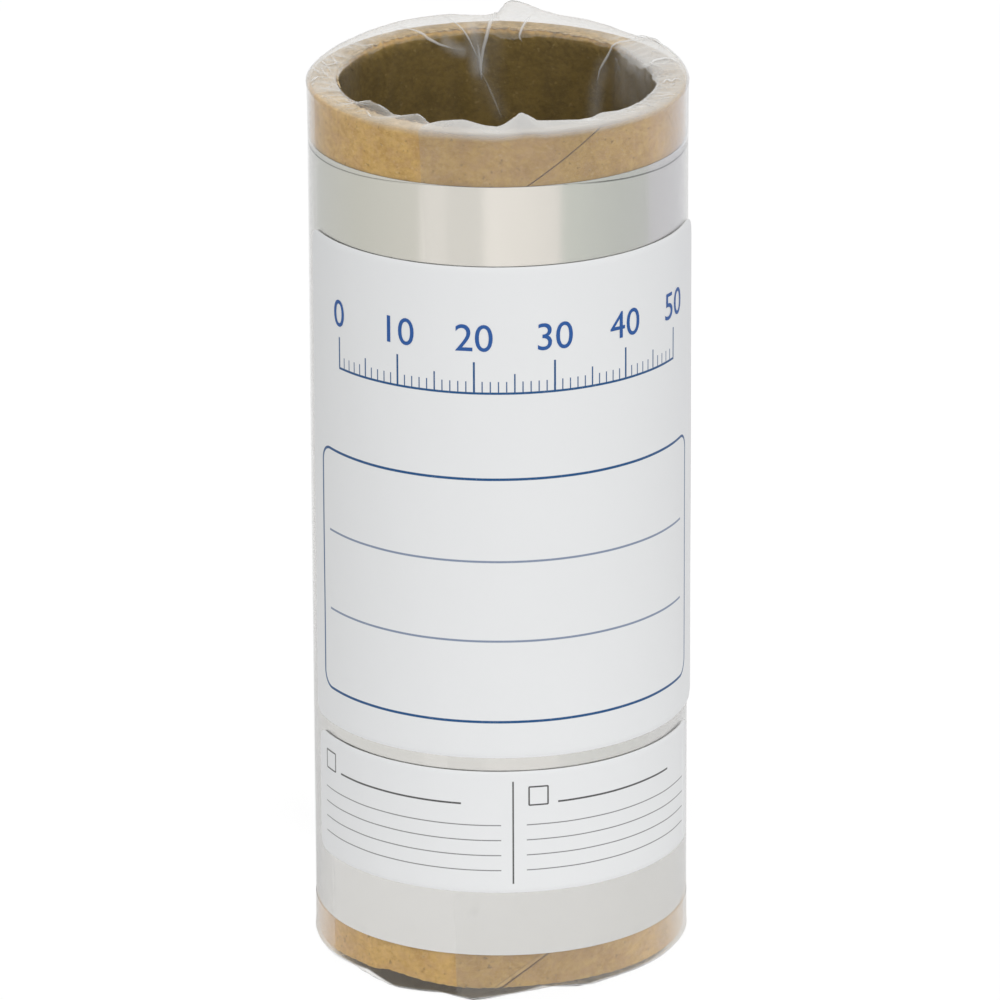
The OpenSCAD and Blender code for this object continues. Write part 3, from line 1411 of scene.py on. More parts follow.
    def relax(self, points: np.ndarray, rounds: int) -> np.ndarray:
        """Lets the links find their lengths.

        Args:
            points: the net.
            rounds: how many times all links are corrected.

        Returns:
            The relaxed net.
        """
        rows, around = points.shape[:2]
        plain = self.start(around, rows)
        girth = np.hypot(plain[..., 0], plain[..., 1]) / self.sleeve_r
        turn = np.arange(around) * 360 / around
        uneven = self.spare * np.clip(0.75 + 0.9 * waves(turn, self.seed + 70, 5, 2, 9), 0.1, 2.0)
        loose = (1 + uneven * np.clip((1 - girth) / 0.08, 0, 1))[..., None]
        links = []
        for over, down, stiff in self.LINKS:
            rest = np.roll(plain, -over, 1)[down:] - plain[: rows - down]
            rest = np.linalg.norm(rest, axis=-1, keepdims=True)
            links.append((over, down, rest * (loose[: rows - down] if over else 1.0), stiff))
        moving = (self.free(points)[:, :, None] > 0) & (np.arange(rows) < rows - 1)[:, None, None]
        speed = np.zeros_like(points)
        for _ in range(rounds):
            shift = np.zeros_like(points)
            for over, down, rest, stiff in links:
                near = points[: rows - down]
                far = np.roll(points, -over, 1)[down:]
                gap = far - near
                size = np.sqrt((gap**2).sum(-1, keepdims=True)) + 1e-9
                move = gap * (stiff * 0.5 * (1 - rest / size))
                shift[: rows - down] += move
                shift[down:] -= np.roll(move, over, 1)
            speed = speed * self.SPEED_KEPT + shift * self.PULL
            points = self.clear(np.where(moving, points + speed, points))
        return points

    def clear(self, points: np.ndarray) -> np.ndarray:
        """Moves points out of the tube, the foil and what the roll stands on.

        Args:
            points: the net, with heights from the tube's end.

        Returns:
            The net, clear of them.
        """
        s = self.sizes
        x, y, up = points[..., 0], points[..., 1], points[..., 2]
        radius = np.hypot(x, y)
        outward = self.sleeve_r - radius
        inward = radius - (s.bore_r - self.gap)
        above = self.gap - up
        inside = (outward > 0) & (inward > 0) & (above > 0)
        go_up = inside & (above <= np.minimum(outward, inward))
        go_out = inside & ~go_up & (outward <= inward)
        go_in = inside & ~go_up & ~go_out
        wanted = np.where(go_out, self.sleeve_r, np.where(go_in, s.bore_r - self.gap, radius))
        scale = wanted / np.maximum(radius, 1e-6)
        up = np.where(go_up, self.gap, up)
        if self.room:
            up = np.minimum(up, self.room)
        return np.stack([x * scale, y * scale, up], -1)

    def from_edge(self, turn: np.ndarray) -> np.ndarray:
        """Returns where along the film depth 0 lies: as far from the bore's edge as the tube is thick."""
        return self.reach(turn)[self.BORE_CORNER] - (self.sizes.tube_r - self.sizes.bore_r)

    def haze(self, rows: int) -> np.ndarray:
        """Works out the film's haze.

        Args:
            rows: rows of the net.

        Returns:
            Two numbers for each point of the net: how cloudy the film is there, and how grey.
        """
        turn = np.arange(self.around) * 360 / self.around
        along = self.along(rows)[:, None]
        depth = along - self.from_edge(turn)[None, :]
        turn = turn[None, :]
        over = np.clip((depth + 0.8) / 1.2, 0, 1) * np.clip((5.2 - depth) / 1.2, 0, 1)
        crest = np.clip((along - self.join + 0.9) / 0.6, 0, 1) * np.clip((1.6 - depth) / 1.0, 0, 1)
        inside = np.clip((depth - 4.2) / 0.8, 0, 1) * np.clip((14.0 - depth) / 8.0, 0, 1)
        cloud = np.maximum(over * self.cloud.at(turn), inside * self.lining.at(turn))
        for patch in self.patches:
            cloud = np.maximum(cloud, patch.at(turn, depth, self.sizes.bore_r))
        return np.stack([cloud, crest * self.veil.at(turn)], -1)

    def strip(self, crease: Crease, net: np.ndarray) -> Pair:
        """Returns one crease as a narrow strip on the finished net.

        Args:
            crease: the crease.
            net: the finished net.

        Returns:
            Rows of points along the crease, and how cloudy they are.
        """
        radius = self.sizes.bore_r
        x, y = np.radians(np.array(crease.turns)) * radius, np.array(crease.depths)
        reach = np.concatenate([[0], np.cumsum(np.hypot(np.diff(x), np.diff(y)))])
        share = np.linspace(0, 1, max(8, int(reach[-1] / 0.1)))
        x, y = (np.interp(share * reach[-1], reach, values) for values in (x, y))
        for _ in range(6):
            x[1:-1], y[1:-1] = ((v[:-2] + 2 * v[1:-1] + v[2:]) / 4 for v in (x, y))
        ahead = np.stack([np.gradient(x), np.gradient(y)], -1)
        ahead /= np.linalg.norm(ahead, axis=-1, keepdims=True) + 1e-9
        across = np.linspace(-1, 1, 5)[None, :]
        taper = np.clip(np.sin(np.pi * share), 0, 1)[:, None] ** 0.6
        offset = across * taper * crease.width
        turn = np.degrees((x[:, None] - ahead[:, 1:] * offset) / radius)
        depth = y[:, None] + ahead[:, :1] * offset
        every_degree = np.arange(361.0)
        edge = np.interp(turn, every_degree, self.from_edge(every_degree))
        row = np.interp(depth + edge, self.along(len(net)), np.arange(len(net)))
        reader = NetReader(net.shape[:2], row, turn)
        stands = 0.11 + crease.height * (1 - np.abs(across)) * taper
        points = reader.read(net) - reader.read(outward_normals(net)) * stands[..., None]
        return points, crease.cloud * (1 - across**2) * taper


def outward_normals(net: np.ndarray) -> np.ndarray:
    """Returns the unit normals of a net that goes round the roll.

    They point away from the axis where the rows go down, or in a gathered end away from the paper.

    Args:
        net: rows of points, each all the way round.

    Returns:
        One normal for each point.
    """
    across = np.roll(net, -1, 1) - np.roll(net, 1, 1)
    down = np.gradient(net, axis=0)
    normal = np.cross(down, across)
    return normal / (np.linalg.norm(normal, axis=-1, keepdims=True) + 1e-9)


@dataclass
class FilmWrap:
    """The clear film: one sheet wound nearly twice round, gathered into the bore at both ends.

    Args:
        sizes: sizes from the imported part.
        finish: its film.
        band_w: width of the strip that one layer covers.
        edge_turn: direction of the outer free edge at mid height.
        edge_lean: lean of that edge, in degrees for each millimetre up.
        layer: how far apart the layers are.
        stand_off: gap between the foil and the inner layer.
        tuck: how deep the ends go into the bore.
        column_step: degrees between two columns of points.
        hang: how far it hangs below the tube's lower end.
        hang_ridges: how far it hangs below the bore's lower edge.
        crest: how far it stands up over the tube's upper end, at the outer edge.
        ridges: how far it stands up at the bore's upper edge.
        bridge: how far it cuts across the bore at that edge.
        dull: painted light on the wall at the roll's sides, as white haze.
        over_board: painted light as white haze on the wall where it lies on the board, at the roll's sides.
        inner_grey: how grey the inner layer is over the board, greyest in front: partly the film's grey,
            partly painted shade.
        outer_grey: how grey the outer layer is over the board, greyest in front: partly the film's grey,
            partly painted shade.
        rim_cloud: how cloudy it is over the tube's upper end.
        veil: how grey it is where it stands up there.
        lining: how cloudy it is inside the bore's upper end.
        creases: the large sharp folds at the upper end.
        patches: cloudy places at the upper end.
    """

    sizes: RollSizes
    finish: ClearFilm = field(default_factory=ClearFilm)
    band_w: float = 20.2
    edge_turn: float = -18.5
    edge_lean: float = -0.091
    layer: float = 0.05
    stand_off: float = 0.08
    tuck: float = 28.0
    column_step: float = 1.0
    hang: Outline = Outline(
        (0, 3, 16.5, 29, 41, 55, 70, 86, 102, 120, 150, 180, 210, 240, 271, 288, 305, 323, 339.5, 351),
        (1.1, 0.9, 0.05, 0.75, 0.45, 0.5, 0.45, 0.9, 0.7, 0.3, 1.1, 0.5, 1.2, 0.4, 1.3, 1.0, 0.45, 1.6, 1.15,
         1.8),
    )
    hang_ridges: Outline = Outline(
        (0, 40, 75, 110, 160, 200, 250, 310),
        (0.0, 0.6, 0.1, 0.7, 0.0, 0.5, 0.1, 0.4),
    )
    crest: Outline = Outline(
        (0, 60, 90, 102, 114, 122, 130, 136, 143, 151, 160, 166, 171.5, 175.5, 177.5, 180, 184, 188, 196, 201,
         213, 223, 234, 246, 260, 300),
        (0.1, 0.15, 0.3, 0.5, 0.8, 0.8, 0.55, 0.5, 0.8, 1.05, 1.15, 1.6, 2.4, 2.65, 2.35, 0.9, 0.6, 0.7, 1.05,
         1.05, 1.0, 0.8, 0.5, 0.3, 0.2, 0.15),
    )
    ridges: Outline = Outline(
        (0, 3, 8.2, 11, 14, 21, 29, 35, 39.5, 44, 49, 70, 95, 100, 108, 150, 210, 300, 306, 312, 320, 324,
         330, 335.5, 341, 348, 356),
        (0.0, 0.5, 1.6, 1.3, 0.6, 0.4, 0.1, 0.0, 0.3, 0.15, 0.0, 0.0, 0.0, 0.4, 0.0, 0.1, 0.1, 0.0, 0.9, 0.8,
         0.3, 0.45, 1.0, 0.15, 0.6, 0.85, 0.2),
    )
    bridge: Outline = Outline((84, 92, 100, 108, 118, 126, 131, 134), (0, 0.5, 0.8, 1.1, 1.1, 0.7, 0.2, 0))
    dull: Outline = Outline(
        (0, 25, 48, 60, 85, 105, 270, 290, 310, 330),
        (0, 0.015, 0.055, 0.06, 0.05, 0, 0, 0.03, 0.02, 0),
    )
    over_board: Outline = Outline(
        (0, 38, 50, 60, 76, 83, 256, 264, 278, 287, 292, 302, 320),
        (0, 0, 0.05, 0.08, 0.12, 0.0, 0.0, 0.12, 0.2, 0.18, 0.16, 0.09, 0.0),
    )
    inner_grey: Outline = Outline((25, 42, 55, 295, 315, 328), (0.09, 0.04, 0, 0, 0.03, 0.09))
    outer_grey: Outline = Outline((22, 40, 55, 300, 345), (0.13, 0.06, 0, 0, 0.13))
    rim_cloud: Outline = Outline(
        (0, 42, 60, 84, 94, 104, 116, 127, 132, 180, 224, 250, 290, 310, 335),
        (0.45, 0.4, 0.25, 0.2, 0.3, 0.42, 0.42, 0.3, 0.03, 0.03, 0.0, 0.09, 0.12, 0.1, 0.25),
    )
    veil: Outline = Outline((90, 130, 190, 198, 208, 236, 260), (0.005, 0.012, 0.012, 0.03, 0.0, 0.01, 0.0))
    lining: Outline = Outline(
        (60, 88, 100, 122, 136, 176, 181, 187, 191, 240, 262, 280),
        (0, 0.1, 0.2, 0.15, 0.0, 0.0, 0.03, 0.03, 0.0, 0.0, 0.06, 0.0),
    )
    creases: tuple[Crease, ...] = (
        Crease((217, 212, 207, 202.5, 196), (1.2, 3.4, 4.8, 5.6, 6.3), 0.15, 0.22, 0.6),
        Crease((198, 194.9, 190.7, 186.6), (1.0, 3.4, 5.3, 7.9), 0.12, 0.16, 0.5),
        Crease((179.5, 181, 183, 185.4, 186.4, 185.6), (-1.0, 1.0, 3.8, 6.4, 8.8, 9.8), 0.2, 0.3, 0.6),
        Crease((187.6, 186.6, 186.0), (5.5, 7.6, 10.2), 0.15, 0.3, 0.4),
        Crease((186.4, 184, 181.5, 178), (8.8, 10.5, 12.6, 15.5), 0.05, 0.16, 0.2),
        Crease((168.5, 170, 172, 170.6), (2.2, 3.4, 5.3, 5.8), 0.2, 0.22, 0.7),
        Crease((124, 128, 132.9, 138.6, 140.5), (0.8, 2.4, 4.65, 7.4, 9.6), 0.2, 0.22, 0.65),
        Crease(
            (96.5, 100, 105.4, 107.3, 106.6, 103.3, 98.1),
            (3.0, 3.9, 3.7, 2.8, 1.5, 1.0, 0.6),
            0.25,
            0.28,
            0.9,
        ),
        Crease((127.6, 128.6, 127, 122, 117, 113), (1.8, 0.8, 0.1, 0.0, 0.3, 0.6), 0.25, 0.28, 0.9),
        Crease((79.8, 82, 84.8, 82.7, 85, 82.5), (3.6, 3.1, 2.7, 2.1, 1.5, 0.6), 0.15, 0.2, 0.7),
        Crease((66, 68, 70.5), (3.2, 1.6, 0.2), 0.15, 0.2, 0.6),
    )
    patches: tuple[Patch, ...] = (
        Patch((200, 196, 193), (5.4, 6.2, 6.6), 1.0, 0.2),
        Patch((189.5, 187.8, 186.6), (3.6, 6.0, 8.6), 1.7, 0.2),
        Patch((186.4, 182.5, 179), (9.0, 11.5, 14.5), 1.5, 0.05),
        Patch((137, 140, 141), (7.0, 10.0, 14.0), 1.7, 0.09),
        Patch((262, 240, 215, 190, 165, 140), (1.6, 1.6, 1.6, 1.6, 1.6, 1.6), 2.4, 0.24),
    )

    @property
    def sleeve_r(self) -> float:
        """Radius of the inner layer on the roll."""
        return self.sizes.foil_r + self.stand_off

    def upper_end(self) -> GatheredEnd:
        """Sets out the upper end.

        Returns:
            The film that is gathered over it.
        """
        return GatheredEnd(
            self.sizes,
            End.UPPER,
            self.sleeve_r,
            self.crest,
            self.ridges,
            creases=(*self.creases, *self.small_creases()),
            patches=self.patches,
            cloud=self.rim_cloud,
            veil=self.veil,
            lining=self.lining,
            bridge=self.bridge,
            tuck=self.tuck,
            seed=3,
        )

    def lower_end(self) -> GatheredEnd:
        """Sets out the lower end.

        Returns:
            The film that is gathered under the roll, which stands on it.
        """
        room = self.sizes.tube_low - self.layer * 2 - 0.01
        return GatheredEnd(
            self.sizes,
            End.LOWER,
            self.sleeve_r,
            self.hang,
            self.hang_ridges,
            tuck=self.tuck,
            room=room,
            seed=8,
        )

    @staticmethod
    def small_creases() -> list[Crease]:
        """Scatters small creases over both sides of the upper rim.

        Returns:
            The creases.
        """
        source = np.random.default_rng(17)
        made = []
        for _ in range(70):
            turn = source.uniform(42, 122) if source.random() < 0.42 else source.uniform(222, 318)
            depth, lean = source.uniform(0.0, 3.2), source.uniform(-1.2, 1.2)
            long = source.uniform(0.8, 3.2)
            end = turn + lean * long * 2.6
            middle = (turn + source.uniform(-1.5, 1.5) + end) / 2
            depths = (depth, depth + long * 0.25, depth + long * 0.5)
            height, width = source.uniform(0.02, 0.12), source.uniform(0.1, 0.24)
            made.append(Crease((turn, middle, end), depths, height, width, source.uniform(0.15, 0.5)))
        return made

    def surface(self) -> Net:
        """Works out one wrap of the film, from the upper bore down the wall to the lower bore.

        Returns:
            Rows of points, each all the way round; the film's haze at each, how cloudy and how grey;
            and the narrow folds at the upper end.
        """
        upper, upper_haze, folds = self.upper_end().net()
        lower, lower_haze, _ = self.lower_end().net()
        share = np.linspace(0, 1, 16)[1:-1, None, None]
        sleeve = upper[0] * (1 - share) + lower[0] * share
        turn = np.arange(upper.shape[1]) * 360 / upper.shape[1]
        swell = 0.04 * (1 + waves(np.broadcast_to(turn, sleeve.shape[:2]), 31, 3, 3, 8))
        radius = np.hypot(sleeve[..., 0], sleeve[..., 1]) + swell * np.sin(np.pi * share[..., 0]) ** 2
        sleeve = ring_points(turn, radius, sleeve[..., 2])
        points = np.concatenate([upper[::-1], sleeve, lower])
        haze = np.concatenate([upper_haze[::-1], np.zeros((*radius.shape, 2)), lower_haze])
        haze[..., 0] = np.maximum(haze[..., 0], self.bends(points))
        # Painted light: white haze on the wall at the roll's sides.
        haze[..., 0] = np.maximum(haze[..., 0], self.dull.at(turn)[None, :])
        return points, haze, folds

    @staticmethod
    def bends(surface: np.ndarray) -> np.ndarray:
        """Finds where the film is bent sharply round the roll.

        Args:
            surface: rows of points, each all the way round.

        Returns:
            How cloudy that makes each point.
        """
        normal = outward_normals(surface)
        step = np.linalg.norm(np.roll(surface, -1, 1) - surface, axis=-1) + 1e-6
        change = np.linalg.norm(np.roll(normal, -1, 1) - normal, axis=-1) / step
        bend = np.maximum(change, np.roll(change, 1, 1))
        return np.clip((bend - 0.5) / 2.5, 0, 1) * 0.14

    def build(self) -> list[bpy.types.Object]:
        """Builds the film.

        Returns:
            One spiral sheet, and its narrow folds.
        """
        surface, haze, folds = self.surface()
        total = 720 - self.band_w / self.sleeve_r * 180 / math.pi
        wound = np.linspace(0, total, round(total / self.column_step) + 1)[None, :]
        steps = np.linalg.norm(np.diff(surface, axis=0), axis=-1).mean(1)
        along = np.concatenate([[0], np.cumsum(steps)])
        lean = self.edge_lean * (along[len(along) // 2] - along)[:, None]
        turn = self.edge_turn + total - wound + lean
        reader = NetReader(surface.shape[:2], np.arange(len(along))[:, None], turn)
        lift = self.layer * wound / 360
        points = reader.read(surface) + reader.read(outward_normals(surface)) * lift[..., None]
        haze = reader.read(haze)
        wall = np.hypot(points[..., 0], points[..., 1]) > self.sizes.tube_r
        outer = wall & (wound > 360)
        marks = {
            "cloud": haze[..., 0],
            "grey": haze[..., 1],
            "outer": outer,
            # Painted light over the board at the roll's sides.
            "over_board": wall * self.over_board.at(turn),
            # Partly painted shade: the film over the board is greyer in front.
            "board_grey": wall * np.where(outer, self.outer_grey.at(turn), self.inner_grey.at(turn)),
        }
        material = self.finish.material(self.sizes.foil_low, self.sizes.foil_high)
        film = mesh_piece("film_wrap", points, net_faces(*turn.shape, wrap=False), material, marks=marks)
        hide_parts("clear_film")
        girth = math.radians(total) * self.sleeve_r
        girth * MM
        return [film, self.narrow_folds(folds, material)]

    @staticmethod
    def narrow_folds(strips: list[Pair], material: bpy.types.Material) -> bpy.types.Object:
        """Makes one piece of all narrow folds.

        Args:
            strips: rows of points of each fold, and how cloudy they are.
            material: the film.

        Returns:
            The piece.
        """
        faces, first = [], 0
        for points, _ in strips:
            faces.append(net_faces(*points.shape[:2], wrap=False, offset=first))
            first += points.shape[0] * points.shape[1]
        points = np.concatenate([points.reshape(-1, 3) for points, _ in strips])
        cloud = np.concatenate([cloud.ravel() for _, cloud in strips])
        piece = mesh_piece("film_folds", points, np.concatenate(faces), material, marks={"cloud": cloud})
        return piece


@dataclass(frozen=True)
class Ink:
    """Blue printing ink.

    Args:
        blue: its colour.
        pale: its colour where it is thin.
    """

    blue: Colour = (0.0, 0.08, 0.33)
    pale: Colour = (0.05, 0.122, 0.347)

    def material(self) -> bpy.types.Material:
        """Makes ink that is a little uneven.

        Returns:
            The material.
        """
        material, graph = new_material("blue_ink")
        thin = graph.noise(graph.place(), 2.5, 2.0, 0.6)
        inputs = {"Base Color": graph.mix(thin * 0.4, self.blue, self.pale), "Roughness": 0.45}
        close(graph, graph.node("ShaderNodeBsdfPrincipled", inputs=inputs))
        return material


@dataclass(frozen=True)
class Scale:
    """A graduated millimetre scale on a label, with a number at each centimetre.

    Args:
        start: place of its zero along the label.
        base: height of its base line on the label.
        length: its length.
        figure_high: height of its numbers.
        figure_up: height of their feet over the base line.
        figure_off: how far their middle stands off the paper.
        ink: its ink.
    """

    start: float = 8.0
    base: float = 47.6
    length: int = 50
    figure_high: float = 3.6
    figure_up: float = 5.4
    figure_off: float = 0.032
    ink: Ink = Ink()

    # Height of a figure in the built-in font, as a share of the font's size.
    FIGURE_SHARE: ClassVar[float] = 0.73

    def marks(self, along: Wire, up: Wire) -> Wire:
        """Draws the base line and the lines that stand on it.

        Args:
            along: place along the label.
            up: place up the label.

        Returns:
            The mask of the lines.
        """
        place = along - self.start
        over = up - self.base
        mask = line_mask(over, 0.3) & between(place, -0.1, self.length + 0.1)
        for every, high, width in ((1.0, 1.5, 0.15), (5.0, 2.5, 0.19), (10.0, 4.0, 0.26)):
            near = abs((place + every / 2) % every - every / 2)
            on_scale = between(over, 0.0, high) & between(place, -0.2, self.length + 0.2)
            mask = mask | (line_mask(near, width) & on_scale)
        return mask

    def figure(self, digits: str) -> tuple[np.ndarray, list[list[int]]]:
        """Makes one number, centred over 0.

        Args:
            digits: the number.

        Returns:
            Its points and its faces.
        """
        data = bpy.data.curves.new("figure", "FONT")
        data.body, data.align_x = digits, "CENTER"
        data.size, data.extrude, data.resolution_u = self.figure_high / self.FIGURE_SHARE, 0.008, 6
        text = bpy.data.objects.new("figure", data)
        mesh = bpy.data.meshes.new_from_object(text)
        points = np.array([vertex.co[:] for vertex in mesh.vertices])
        faces = [list(polygon.vertices) for polygon in mesh.polygons]
        bpy.data.objects.remove(text)
        bpy.data.meshes.remove(mesh)
        bpy.data.curves.remove(data)
        return points, faces


@dataclass
class Label:
    """A paper label stuck on the film.

    Args:
        name: the piece's name.
        node: the node that it stands for.
        low: height of its lower edge.
        high: height of its upper edge.
        width: its width round the roll.
        middle: direction of its middle.
        inner_r: radius of its back.
        finish: its paper and print.
        lift: how far its right end stands off.
        lift_len: length of that end.
        stuck: how much closer its upper and lower edges lie to the film.
        stuck_len: how far from those edges that reaches.
        thick: its thickness.
        corner: radius of its corners.
        seed: picks its slight waves.
        scale: a graduated scale printed on it.
    """

    name: str
    node: str
    low: float
    high: float
    width: float
    middle: float
    inner_r: float
    finish: LabelPaper
    lift: float = 0.0
    lift_len: float = 4.0
    stuck: float = 0.08
    stuck_len: float = 0.3
    thick: float = 0.11
    corner: float = 2.0
    seed: int = 41
    scale: Scale | None = None

    def radius(self, along: np.ndarray, up: np.ndarray) -> np.ndarray:
        """Returns the radius of the label's face.

        Args:
            along: places along the label.
            up: places up the label.

        Returns:
            The radius at each place.
        """
        wave = 0.02 * (1 + waves(self.turn(along) * 3 + up * 2, self.seed, 5, 2, 9))
        off = np.clip((along - (self.width - self.lift_len)) / self.lift_len, 0, 1) ** 2 * self.lift
        from_edge = np.minimum(up, self.high - self.low - up)
        stuck = np.clip(1 - from_edge / self.stuck_len, 0, 1) * self.stuck
        return self.inner_r + self.thick + wave + off - stuck

    def turn(self, along: np.ndarray) -> np.ndarray:
        """Returns the direction of places along the label."""
        return self.middle + (along - self.width / 2) / (self.inner_r + self.thick) * 180 / math.pi

    def places(self) -> Pair:
        """Lays rows of points over the flat label, whose ends follow its round corners.

        Returns:
            Their places along the label and up it.
        """
        bends = self.corner * (1 - np.cos(np.linspace(0, math.pi / 2, 12)))
        inner = np.arange(bends[-1], self.width - bends[-1], 0.6)[1:]
        along = np.concatenate([bends, inner, self.width - bends[::-1]])[None, :]
        into_corner = np.clip(self.corner - np.minimum(along, self.width - along), 0, None)
        cut = self.corner - np.sqrt(np.clip(self.corner**2 - into_corner**2, 0, None))
        share = np.concatenate([[0, 0.004, 0.012], np.linspace(0.03, 0.97, 60), [0.988, 0.996, 1]])[:, None]
        up = cut + (self.high - self.low - 2 * cut) * share
        return np.broadcast_to(along, up.shape), up

    def build(self) -> list[bpy.types.Object]:
        """Builds the label as a thin closed sheet with round corners.

        Returns:
            The label, and the numbers of its scale if it has one.
        """
        along, up = self.places()
        rows, columns = up.shape
        face_r = self.radius(along, up)
        front, back = (
            ring_points(self.turn(along), radius, self.low + up).reshape(-1, 3)
            for radius in (face_r, face_r - self.thick)
        )
        number = np.arange(up.size).reshape(rows, columns)
        edge = np.concatenate([number[0, :-1], number[:-1, -1], number[-1, :0:-1], number[:0:-1, 0]])
        rim_front = 2 * up.size + np.arange(edge.size)
        rim_back = rim_front + edge.size
        rim = [rim_front, rim_back, np.roll(rim_back, -1), np.roll(rim_front, -1)]
        faces = np.concatenate([
            net_faces(rows, columns, wrap=False),
            net_faces(rows, columns, wrap=False, offset=up.size)[:, ::-1],
            np.stack(rim, -1),
        ])
        points = np.concatenate([front, back, front[edge], back[edge]])
        spots = np.stack([along, up], -1).reshape(-1, 2)
        uv = np.concatenate([spots, spots, spots[edge], spots[edge]])[faces.ravel()]
        cut = np.concatenate([np.zeros(2 * up.size), np.ones(2 * edge.size)])
        label = mesh_piece(self.name, points, faces, self.finish.material(), uv=uv, marks={"cut": cut})
        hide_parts(self.node)
        return [label, *self.figures()]

    def figures(self) -> list[bpy.types.Object]:
        """Builds the numbers of the label's scale.

        Returns:
            One piece of raised ink, or nothing if the label has no scale.
        """
        if self.scale is None:
            return []
        points, faces, first = [], [], 0
        for number in range(0, self.scale.length + 1, 10):
            flat, polygons = self.scale.figure(str(number))
            along = self.scale.start + number + flat[:, 0]
            up = self.scale.base + self.scale.figure_up + flat[:, 1]
            radius = self.radius(along, up) + self.scale.figure_off + flat[:, 2]
            points.append(ring_points(self.turn(along), radius, self.low + up))
            faces.extend([first + corner for corner in polygon] for polygon in polygons)
            first += len(flat)
        piece = new_object("scale_figures", np.concatenate(points), faces, self.scale.ink.material())
        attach(piece, BODY)
        return [piece]


def form_print(along: Wire, up: Wire) -> Wire:
    """Draws the main label's print: a scale over an empty form of three fields.

    Args:
        along: place along the label.
        up: place up the label.

    Returns:
        The mask of the print.
    """
    lines = frame_mask(along, up, (3.4, 62.7, 4.8, 36.5), 2.0, 0.34)
    for height in (25.8, 15.4):
        lines = lines | (line_mask(up - height, 0.28) & between(along, 5.2, 60.6)) * 0.72
    return lines | Scale().marks(along, up)


def ruled_print(along: Wire, up: Wire) -> Wire:
    """Draws the lower label's print: two columns of writing lines under a box to tick.

    Args:
        along: place along the label.
        up: place up the label.

    Returns:
        The mask of the print.
    """
    rows = line_mask(abs((up - 2.0) % 2.0 - 1.0), 0.13) & between(up, 1.8, 10.6)
    lines = line_mask(along - 31.5, 0.2) & between(up, 1.2, 14.8)
    for left, right in ((2.2, 30.0), (33.2, 60.5)):
        column = rows & between(along, left, right)
        box = frame_mask(along, up, (left + 0.3, left + 2.7, 11.6, 14.0), 0.1, 0.2)
        heading = line_mask(up - 11.8, 0.24) & between(along, left + 4.0, right - 5.0)
        lines = lines | column * 0.85 | box | heading
    return lines


def labels(sizes: RollSizes) -> tuple[Label, Label]:
    """Lays out the two labels.

    Args:
        sizes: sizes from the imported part.

    Returns:
        The main label and the lower one.
    """
    inner_r = sizes.foil_r + 0.19
    form = Label(
        "form_label",
        "main_label",
        low=sizes.main_low,
        high=sizes.main_high,
        width=66.0,
        middle=4.7,
        inner_r=inner_r,
        finish=LabelPaper("form_paper", (0.0, 0.07, 0.22), form_print),
        lift=0.3,
        scale=Scale(),
    )
    ruled = Label(
        "ruled_label",
        "lower_label",
        low=sizes.small_low,
        high=sizes.small_high,
        width=63.0,
        middle=3.7,
        inner_r=inner_r,
        finish=LabelPaper("ruled_paper", (0.07, 0.07, 0.07), ruled_print, cut_edge=0.2),
        corner=1.8,
        seed=43,
    )
    return form, ruled


